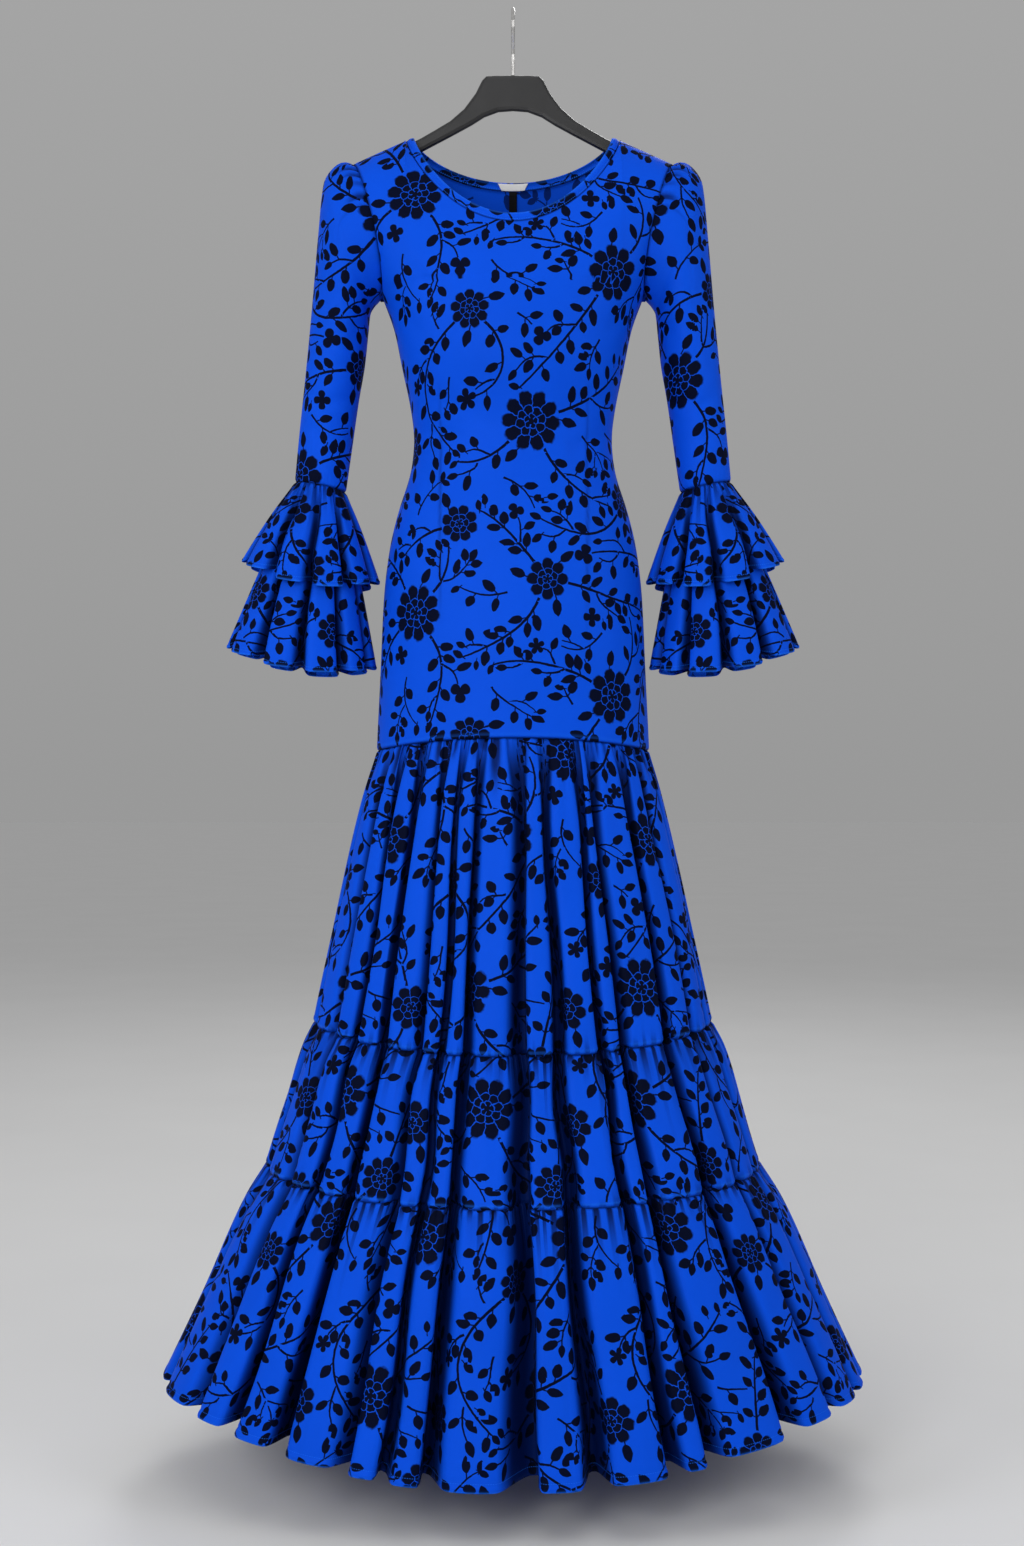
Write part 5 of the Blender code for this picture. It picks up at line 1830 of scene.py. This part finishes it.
@dataclass
class Sleeve:
    """A set-in sleeve, slightly gathered at the cap.

    Attributes:
        levels: Its rings, from the armhole to the cuff.
        columns: Columns of its cloth.
        spacing: Distance between its rows.
        thick: Thickness of the cloth.
        bow: How far the armhole bows in, before and behind.
        cap: The small folds of the cap.
        cuff: The small folds above the cuff.
        degree: Width of the cloth for each degree round the arm.
        shifts: Where on the repeat each sleeve was cut.
        creases: Its creases, by degrees round and distance down.
    """

    levels: tuple[SleeveLevel, ...] = records(
        SleeveLevel,
        (184.0, -175.8, 150.7, -327.6, 54.0, 50.0, 1.0), (196.6, -174.4, 155.0, -333.0, 54.0, 50.0, 0.6),
        (209.3, -183.0, 160.0, -339.0, 54.0, 50.0, 0.3), (217.6, -200.0, 164.0, -347.0, 53.0, 50.0, 0.0),
        (223.5, -256.0, 166.5, -370.0, 49.0, 48.0, 0.0), (231.0, -342.6, 170.0, -404.0, 43.0, 43.0, 0.0),
        (239.0, -425.0, 177.5, -449.0, 37.0, 37.0, 0.0), (245.5, -486.0, 185.0, -502.0, 32.0, 32.0, 0.0),
        (250.7, -540.4, 192.0, -552.0, 29.0, 29.0, 0.0),
    )
    columns: int = 152
    spacing: float = 3.6
    thick: float = 0.9
    bow: tuple[float, float] = (9.5, 6.0)
    cap: Gathers = Gathers(30, 4.2, 16.0, 70.0, 71, 0.9, 0.6)
    cuff: Gathers = Gathers(34, 0.9, 6.0, 34.0, 72, 0.8)
    degree: float = 0.75
    shifts: dict[Side, tuple[float, float]] = field(
        default_factory=lambda: {Side.LEFT: (310.0, 60.0), Side.RIGHT: (140.0, 80.0)})
    creases: tuple[Crease, ...] = records(
        Crease,
        (20.0, 196.0, 120.0, 226.0, 2.2, 8.0), (28.0, 232.0, 136.0, 214.0, 1.9, 7.0),
        (16.0, 150.0, 96.0, 178.0, 1.6, 9.0), (60.0, 262.0, 168.0, 240.0, 1.6, 8.0),
        (-10.0, 170.0, -90.0, 204.0, 1.9, 8.0), (-16.0, 210.0, -120.0, 236.0, 1.7, 9.0),
        (30.0, 60.0, 64.0, 150.0, 1.8, 10.0), (110.0, 96.0, 128.0, 196.0, 1.4, 12.0),
        (46.0, 300.0, 140.0, 322.0, 1.1, 8.0), (-30.0, 290.0, -130.0, 268.0, 1.3, 9.0),
    )

    def ring(self, sizes: np.ndarray, angle: np.ndarray) -> np.ndarray:
        """Return rings of the right sleeve; the angle runs from the underarm over the front to the shoulder.

        Args:
            sizes: A level for each row.
            angle: The direction of each column, in radians.

        Returns:
            Rows of points.
        """
        level = SleeveLevel(*sizes.T[..., None])
        cosine, sine = np.cos(angle)[None], np.abs(np.sin(angle))[None]
        front = np.sin(angle)[None] > 0.0
        depth = np.where(front, level.front, level.back)
        bow = level.bow * np.where(front, self.bow[0], self.bow[1]) * sine
        x = (level.x_outer + level.x_inner) / 2 - (level.x_outer - level.x_inner) / 2 * cosine - bow
        y = np.where(front, -1.0, 1.0) * depth * sine
        z = (level.z_outer + level.z_inner) / 2 - (level.z_outer - level.z_inner) / 2 * cosine
        return np.stack([x, y, z], axis=2)

    def lay_flat(self, points: np.ndarray) -> np.ndarray:
        """Return where the sleeve's points lay on the flat cloth: how far round the arm from its outer side,
        and how far along it."""
        full = np.array(self.levels[3:])
        middle = (full[:, :2] + full[:, 2:4]) / 2
        arm = (middle[-1] - middle[0]) / np.linalg.norm(middle[-1] - middle[0])
        outwards = np.array((-arm[1], arm[0]))
        along = middle @ arm
        wide = (full[:, :2] - full[:, 2:4]) @ outwards / 2
        tube = closed(points)
        flat_view = tube[..., ::2]
        down = flat_view @ arm
        half_wide = np.interp(down, along, wide)
        half_deep = np.interp(down, along, full[:, 4])
        off = (flat_view @ outwards - np.interp(down, along, middle @ outwards)) / half_wide
        front = np.arange(self.columns + 1) < self.columns // 2
        away = np.maximum(np.where(front, -1.0, 1.0) * tube[..., 1], 0.001) / half_deep
        turn = np.arctan2(away, off) * np.where(front, 1.0, -1.0)
        across = (half_wide + half_deep) / 2 * turn + (half_deep - half_wide) / 4 * np.sin(2 * turn)
        return np.stack([-across, down], axis=2)

    def cloth(self) -> Cloth:
        """Return the right sleeve's cloth."""
        table = np.array(self.levels)
        centre = (table[:, :2] + table[:, 2:4]) / 2
        knots = run_along(centre[None], 1)[0]
        distance = row_places(float(knots[-1]), self.spacing, (0.0, 0.9, 2.2, 4.0, 6.5))
        angle = math.tau * np.arange(self.columns) / self.columns
        cloth = Cloth(self.ring(eased(knots, table, distance), angle))
        turn = np.degrees(angle)
        signed = np.where(turn > 180.0, turn - 360.0, turn)
        over_cap = smooth((np.abs(signed) - 84.0) / 26.0)[None]
        edge = distance[-1] - distance
        cap_depth = self.cap.inset(angle / math.tau, distance, True) * over_cap
        depth = cap_depth + self.cuff.inset(angle / math.tau, edge, True)
        around = np.broadcast_to(signed[None] * self.degree, depth.shape)
        for crease in self.creases:
            ends = crease.across0 * self.degree, crease.across1 * self.degree
            spread = crease._replace(across0=ends[0], across1=ends[1])
            depth = depth + spread.inset(around, distance[:, None])
        depth = depth + rolled(distance, (Tuck(0.0, 1.3, 2.2),)) + rolled(edge, (Tuck(0.0, 1.1, 1.8),))
        cloth.press(depth + rolled(distance, (Tuck(6.0, -0.8, 3.5),)) * over_cap)
        # Painted shade in the cap's gathers and along the seams at both ends
        cloth.shade(0.85 * smooth((cap_depth / self.cap.depth - 0.2) / 0.5))
        cloth.shade(tucked(np.minimum(distance, edge), 0.8, 1.1)[:, None])
        cloth.flat = self.lay_flat(cloth.points)
        cloth.allow(True, 6.0, 3.4)
        cloth.allow(False, 2.0, 1.2)
        return cloth

    def build(self, tailor: Tailor, side: Side) -> None:
        """Sew one sleeve into the body."""
        cut = Cut(self.thick, self.shifts[side], "hung", "bodice_front_cloth")
        tailor.sew("sleeve", mirrored(self.cloth(), side), cut, f"_{side.letter}")


class RuffleLevel(NamedTuple):
    """One ring of the right cuff's ruffle: centre, half width as a vector, half depth, drop at the front and
    back, and the depth of its folds."""

    x: float
    z: float
    half_x: float
    half_z: float
    depth: float
    drop: float
    flute: float


@dataclass
class CuffRuffle(FoldedTube):
    """One of the two gathered ruffles of a cuff.

    Attributes:
        thick: Thickness of the cloth.
        hem_line: Distance of the hem's stitches from its edge.
        fine: Count of the finest gathers round its seam.
        lift: How far the hem rises in a valley, as a share of the valley's depth.
    """

    thick: float = 0.8
    hem_line: float = 4.5
    fine: int = 30
    lift: float = 0.2
    height_at = 1
    near = (0.0, 0.8, 2.0, 3.6, 5.6)
    samples = 7201

    def fold(self, sizes: np.ndarray, places: np.ndarray, fluting: Fluting, down: np.ndarray) -> np.ndarray:
        """Return rows of points with their large folds."""
        level = RuffleLevel(*sizes.T[..., None])
        angle = np.radians(fluting.start - places)
        cosine, sine = np.cos(angle)[None], np.sin(angle)[None]
        x = level.x + level.half_x * cosine
        out = np.stack([cosine / level.half_x, -sine / level.depth, np.zeros_like(x)], axis=2)
        out /= np.linalg.norm(out, axis=2, keepdims=True)
        around = math.pi * float(sizes[-1, 2] + sizes[-1, 4])
        inset, sideways = fluting.shift(places, sizes[:, 6], around, down)
        z = level.z + level.half_z * cosine - level.drop * sine * sine
        z = z + self.lift * inset * (down ** 2)[:, None]
        return self.folded(np.stack([x, -level.depth * sine, z], axis=2), out, inset, sideways)

    def cloth(self, fluting: Fluting) -> Cloth:
        """Return the right ruffle's cloth.

        Args:
            fluting: Its large folds.

        Returns:
            Its grid.
        """
        cloth, distance, sizes, places = self.drape(fluting)
        edge = distance[-1] - distance
        gathered = self.gathers.inset(np.arange(self.columns) / self.columns, distance, True)
        rolls = Tuck(0.0, 0.8, 1.2), Tuck(2.4, -0.45, 1.5), Tuck(self.hem_line, 0.45, 1.1)
        cloth.press(gathered + rolled(distance, (Tuck(0.0, 1.0, 1.8),)) + rolled(edge, rolls))
        # Painted shade between the folds, in the gathers and along the seam, and a painted highlight on the
        # rolled hem
        cloth.shade(fluting.hollow(places, sizes[:, 6]))
        cloth.shade(np.maximum(0.6 * gathered / self.gathers.depth, tucked(distance, 0.8, 1.1)[:, None]))
        cloth.light(tucked(edge, 0.9, 1.2)[:, None])
        cloth.flat = lay_tube_flat(cloth.points, fluting.ridges(places))
        cloth.hem = edge - self.hem_line
        cloth.gathers = self.fine
        cloth.seams = np.stack([distance, np.full_like(distance, 0.8)], axis=1)
        cloth.allow(True, 2.0, 1.4)
        return cloth

    def build(self, tailor: Tailor, side: Side, fluting: Fluting) -> None:
        """Sew the ruffle onto one sleeve."""
        cut = Cut(self.thick, self.shift, "gathered", f"sleeve_cloth_{side.letter}")
        tailor.sew(self.name, mirrored(self.cloth(fluting), side), cut, f"_{side.letter}")


CUFF_FOLDS = Fluting(records(
    Flute,
    (46.0, 1.0), (30.0, 0.9), (38.0, 1.05), (33.0, 1.0), (42.0, 1.1), (31.0, 0.85), (40.0, 1.0), (28.0, 0.9),
    (40.0, 1.05), (32.0, 0.9),
), 205.0, 21, square=0.55, deepen=1.25, curl=0.34, curl_most=0.12, lean=0.2, wander=2.0)

CUFF_RUFFLES = (
    CuffRuffle("cuff_ruffle_upper", records(
        RuffleLevel,
        (221.4, -546.5, 29.4, 5.8, 29.0, 0.0, 1.6), (226.4, -590.0, 53.5, 9.2, 44.0, 8.0, 10.0),
        (232.4, -644.4, 79.9, 12.6, 62.0, 19.0, 21.0),
    ), 220, 3.8, Gathers(30, 2.0, 8.0, 48.0, 81), (100.0, 300.0)),
    CuffRuffle("cuff_ruffle_lower", records(
        RuffleLevel,
        (221.4, -546.5, 26.4, 5.2, 26.0, 0.0, 1.4), (231.5, -641.0, 55.5, 8.8, 45.0, 7.0, 13.0),
        (243.0, -743.6, 86.5, 12.3, 66.0, 16.0, 23.0),
    ), 220, 5.0, Gathers(26, 1.4, 8.0, 60.0, 82), (280.0, 260.0)),
)


# ---- Neck binding, zip and label ----
@dataclass
class NeckBinding:
    """The turned and stitched band round the neckline.

    Attributes:
        shape: The body that it is sewn to.
        half: Columns from the centre to one shoulder.
        cut: How it is cut.
        line: Distance of its stitches from the lower edge.
    """

    shape: BodyShape
    half: int = 84
    cut: Cut = Cut(1.9, (40.0, 150.0), "folded", "bodice_front_cloth")
    line: float = 2.2

    def cloth(self) -> Cloth:
        """Return the band's grid, from the left shoulder over the front."""
        shares = np.linspace(-1.0, 1.0, 2 * self.half, endpoint=False)
        grows = np.array((0.0, 0.25, 0.8, 1.6, 2.8, 4.2, 5.6, 6.8, 7.4, 7.8, 8.2, 8.8, 9.4, 9.8, 10.0))
        rows = []
        for grow in grows:
            front = self.shape.neck_points(Face.FRONT, shares, float(grow))
            back = self.shape.neck_points(Face.BACK, -shares, float(grow))
            front[0, 1], back[0, 1] = 0.0, 0.0
            rows.append(np.concatenate([front, back]))
        cloth = Cloth(np.array(rows))
        across = run_along(closed(cloth.points), 1)[len(grows) // 2]
        flat = np.stack(np.broadcast_arrays(across[None], grows[:, None]), axis=2)
        from_line = self.shape.band - self.line - grows
        edge = np.minimum(grows, self.shape.band - grows)
        random = np.random.default_rng(5)
        knots = np.arange(0, 4 * self.half + 8, 7)
        ease = np.interp(np.arange(4 * self.half), knots, random.uniform(0.0, 0.5, len(knots)))
        depth = tucked(edge, 1.1, 0.8) + tucked(from_line, 0.5, 0.7)
        swell = np.exp(-((grows - 4.4) / 2.2) ** 2)
        cloth.press(depth[:, None] - swell[:, None] * 0.9 + swell[:, None] * ease[None])
        band = Cloth(cloth.points, flat, True, from_line)
        plain = np.ones(cloth.points.shape[:2])
        # Painted shade along the lower seam, and a painted highlight along the upper edge
        band.shade(tucked(self.shape.band - grows, 0.9, 0.9)[:, None] * plain)
        band.light(tucked(grows - 1.0, 0.5, 1.1)[:, None])
        return band

    def build(self, tailor: Tailor, label: bpy.types.Object) -> None:
        """Sew the band, on which the label lies; it is folded, so both its skins show the right side."""
        piece = tailor.sew("neck_binding", self.cloth(), self.cut)
        piece.data.materials[1] = tailor.wardrobe.right_side


@dataclass
class ZipFastener:
    """The zip behind the slit of the back: its tape and its coil of teeth.

    Attributes:
        shape: The body that it is sewn into.
        top: Height of its upper end.
        bottom: Height of its lower end.
        half: Half the width of its tape.
        lift: How far the tape lies inside the cloth's outer skin.
        thick: Thickness of the tape.
        pitch: Distance between teeth.
        tooth: Size of a tooth, across, down and deep.
    """

    shape: BodyShape
    top: float = -193.0
    bottom: float = -756.0
    half: float = 4.6
    lift: float = 1.95
    thick: float = 1.0
    pitch: float = 1.25
    tooth: tuple[float, float, float] = (1.9, 0.8, 1.1)

    def line(self, heights: np.ndarray) -> tuple[np.ndarray, np.ndarray]:
        """Return the back's centre line at heights, and its directions into the dress."""
        rows = self.shape.rows(Face.BACK, np.array((0.0, 0.02)), 90, 3.0)[:, 0]
        above = rows[0] + (rows[0] - rows[1]) / np.linalg.norm(rows[0] - rows[1]) * 20.0
        rows = np.vstack([above, rows])[::-1]
        depth = np.interp(heights, rows[:, 2], rows[:, 1])
        points = np.stack([np.zeros_like(heights), depth, heights], axis=1)
        along = np.gradient(points, axis=0)
        inward = np.stack([np.zeros_like(heights), along[:, 2], -along[:, 1]], axis=1)
        return points, inward / np.linalg.norm(inward, axis=1, keepdims=True)

    def build_tape(self, wardrobe: Wardrobe) -> bpy.types.Object:
        """Make the two tapes as one strip with a stitched line at each side."""
        heights = np.linspace(self.top, self.bottom, 130)
        centre, inward = self.line(heights)
        across = np.array((1.0, 0.93, 0.86, 0.8, 0.74, 0.4, 0.12, 0.0)) * self.half
        across = np.concatenate([across, -across[-2::-1]])
        dip = 0.25 * np.exp(-((np.abs(across) - 0.8 * self.half) / 0.5) ** 2)
        points = centre[:, None] + inward[:, None] * (self.lift + dip)[None, :, None]
        points[..., 0] = across[None]
        faces, _ = shell_faces(len(heights), len(across), False)
        skins = np.concatenate([points, points + self.thick * inward[:, None]])
        piece = new_piece("zip_tape_cloth", skins, faces.tolist())
        piece.data.materials.append(wardrobe.tape)
        settle(piece, ["zip_tape"])
        return piece

    def build_coil(self, wardrobe: Wardrobe) -> bpy.types.Object:
        """Make the closed coil, whose teeth come from both sides by turns."""
        heights = np.arange(self.top - 6.0, self.bottom + 4.0, -self.pitch)
        centre, inward = self.line(heights)
        wide, high, deep = (size / 2 for size in self.tooth)
        ring = ((-1.0, -0.5), (-0.6, -1.0), (0.6, -1.0), (1.0, -0.5),
                (1.0, 0.5), (0.6, 1.0), (-0.6, 1.0), (-1.0, 0.5))
        points, faces = [], []
        for index, (place, into) in enumerate(zip(centre, inward)):
            sign = 1.0 if index % 2 else -1.0
            start = len(points)
            for end in (-0.35, 1.0):
                for out, up in ring:
                    points.append(place + into * (1.25 - deep * out)
                                  + np.array((sign * end * wide, 0.0, high * up)))
            steps = [(step, (step + 1) % 8) for step in range(8)]
            tooth = [tuple(range(7, -1, -1)), tuple(range(8, 16))]
            tooth += [(step, after, after + 8, step + 8) for step, after in steps]
            if sign < 0:
                tooth = [face[::-1] for face in tooth]
            faces += [tuple(start + corner for corner in face) for face in tooth]
        piece = new_piece("zip_coil", np.array(points), faces)
        piece.data.materials.append(wardrobe.lacquer)
        settle(piece)
        return piece


@dataclass
class NeckLabel:
    """The blank satin label inside the back of the neck.

    Attributes:
        shape: The body that it is sewn to.
        top: Distance of its upper edge below the neckline.
        height: Its height.
        half_top: Half its width at the top.
        half_bottom: Half its width at the bottom.
        inside: Distance from the band's outer skin.
        thick: Thickness of the folded satin.
    """

    shape: BodyShape
    top: float = 1.2
    height: float = 7.8
    half_top: float = 18.0
    half_bottom: float = 13.5
    inside: float = 2.3
    thick: float = 0.9

    def build(self, wardrobe: Wardrobe) -> bpy.types.Object:
        """Make the label with soft folded edges and its stitches pulled in."""
        downs = np.array((0.0, 0.3, 0.9, 1.8, 3.0, 4.4, 5.8, 6.8, 7.4, self.height))
        sides = np.linspace(1.0, -1.0, 41)
        rows = []
        for down in downs:
            line = self.shape.neck_points(Face.BACK, np.linspace(0.4, -0.4, 401), self.top + float(down))
            half = self.half_top + (self.half_bottom - self.half_top) * down / self.height
            reach = sides * half
            row = [np.interp(reach[::-1], line[::-1, 0], line[::-1, axis])[::-1] for axis in range(3)]
            rows.append(np.stack(row, axis=1))
        grid = Cloth(np.array(rows), tube=False)
        edge = np.minimum(downs, self.height - downs)[:, None]
        beside = (1.0 - np.abs(sides))[None] * self.half_top
        depth = self.inside + self.thick - tucked(edge, 0.3, 0.5) - tucked(beside, 0.3, 0.6)
        inward = grid.inward()
        skins = [grid.points + self.inside * inward, grid.points + depth[..., None] * inward]
        faces, _ = shell_faces(len(downs), len(sides), False)
        piece = new_piece("neck_label_satin", np.concatenate(skins), faces.tolist())
        piece.data.materials.append(wardrobe.label)
        settle(piece, ["neck_label"])
        return piece


# ---- Hanger ----
class Hardware:
    """The hard pieces that keep their solids and get finishes."""

    def dress(self, wardrobe: Wardrobe) -> None:
        """Give every hard piece its finish."""
        finishes = {"hanger_body": wardrobe.plastic, "hanger_hook": wardrobe.steel,
                    "zip_slider": wardrobe.lacquer, "zip_pull_tab": wardrobe.lacquer}
        for name, finish in finishes.items():
            for slot in bpy.data.objects[name].material_slots:
                slot.material = finish


# ---- Studio ----
class Lamp(NamedTuple):
    """A soft square light: its name and place, the height on the dress that it is turned to, its side in
    metres and its power in watts."""

    name: str
    place: tuple[float, float, float]
    aim: float
    size: float
    watts: float


@dataclass
class Studio:
    """Pale floor, soft lights and the camera.

    Attributes:
        eye: Where the camera stands, in metres.
        lens: Its focal length in millimetres.
        floor: Height of the floor in metres.
        reach: Half the floor's width in metres.
        room: Brightness of the room at the horizon.
        overhead: How much brighter it is overhead, as a share.
        lamps: The lights.
    """

    eye: tuple[float, float, float] = (-0.00115, -2.30, -0.875)
    lens: float = 46.57
    floor: float = -1.668
    reach: float = 30.0
    room: float = 0.32
    overhead: float = 0.47
    lamps: tuple[Lamp, ...] = (
        Lamp("key_light", (-0.9, -2.8, -0.2), -0.95, 1.1, 31.0),
        Lamp("left_light", (-2.4, -1.3, 0.4), -0.85, 1.2, 16.0),
        Lamp("right_light", (2.4, -1.5, 0.3), -0.85, 1.2, 16.0),
        Lamp("top_light", (0.0, -1.3, 1.4), -0.8, 1.4, 7.0),
        Lamp("back_light", (0.7, 3.0, 1.9), -0.85, 1.4, 34.0),
    )

    def build_floor(self) -> None:
        """Lay the floor."""
        mesh = bpy.data.meshes.new("floor")
        square = (-1, -1), (1, -1), (1, 1), (-1, 1)
        corners = [(x * self.reach, y * self.reach, self.floor) for x, y in square]
        mesh.from_pydata(corners, [], [(0, 1, 2, 3)])
        floor = bpy.data.objects.new("floor", mesh)
        bpy.context.scene.collection.objects.link(floor)
        bench = new_bench("pale_floor")
        mottle = bench.cloud(bench.place(), 3.0)
        colour = bench.blend_colours(mottle, (0.74, 0.74, 0.74, 1.0), (0.78, 0.78, 0.78, 1.0))
        mesh.materials.append(bench.finish(Base_Color=colour, Roughness=0.9))

    def hang(self, lamp: Lamp) -> None:
        """Hang a light and turn it towards the dress."""
        light = bpy.data.lights.new(lamp.name, "AREA")
        light.size, light.energy = lamp.size, lamp.watts
        holder = bpy.data.objects.new(lamp.name, light)
        holder.location = lamp.place
        way = Vector((0.0, 0.0, lamp.aim)) - Vector(lamp.place)
        holder.rotation_euler = way.to_track_quat("-Z", "Y").to_euler()
        bpy.context.scene.collection.objects.link(holder)

    def build(self) -> None:
        """Set up the floor, the lights and the camera."""
        self.build_floor()
        for lamp in self.lamps:
            self.hang(lamp)
        room = Bench(bpy.data.worlds.new("soft_room"), "Background")
        way = room.node("ShaderNodeTexCoord", {}, {}).outputs["Generated"]
        strength = (room.parts(way)[2].most(0.0) * self.overhead + 1.0) * self.room
        bpy.context.scene.world = room.finish(Color=(1.0, 1.0, 1.0, 1.0), Strength=strength)
        bpy.context.scene.view_settings.view_transform = "Standard"
        camera = bpy.data.cameras.new("camera")
        camera.lens = self.lens
        camera.sensor_width = 36.0
        camera.sensor_fit = "AUTO"
        stand = bpy.data.objects.new("camera", camera)
        stand.location = self.eye
        stand.rotation_euler = (math.radians(90), 0.0, 0.0)
        bpy.context.scene.collection.objects.link(stand)
        bpy.context.scene.camera = stand


def main() -> None:
    """Build the studio and the dress, finish the hanger, and report each sewn piece of cloth."""
    logging.basicConfig(level=logging.INFO, format="%(message)s")
    Studio().build()
    wardrobe = Wardrobe(PrintRepeat())
    REPORT.info("print charted, finishes made")
    tailor = Tailor(wardrobe)
    shape = BodyShape()
    zip_fastener = ZipFastener(shape)
    zip_pieces = [zip_fastener.build_tape(wardrobe), zip_fastener.build_coil(wardrobe)]
    Bodice(shape).build(tailor, zip_pieces)
    NeckBinding(shape).build(tailor, NeckLabel(shape).build(wardrobe))
    for side in Side:
        Sleeve().build(tailor, side)
        for ruffle in CUFF_RUFFLES:
            ruffle.build(tailor, side, CUFF_FOLDS)
    for tier in SKIRT_TIERS:
        tier.build(tailor, SKIRT_FOLDS)
    Hardware().dress(wardrobe)


if __name__ == "__main__":
    main()
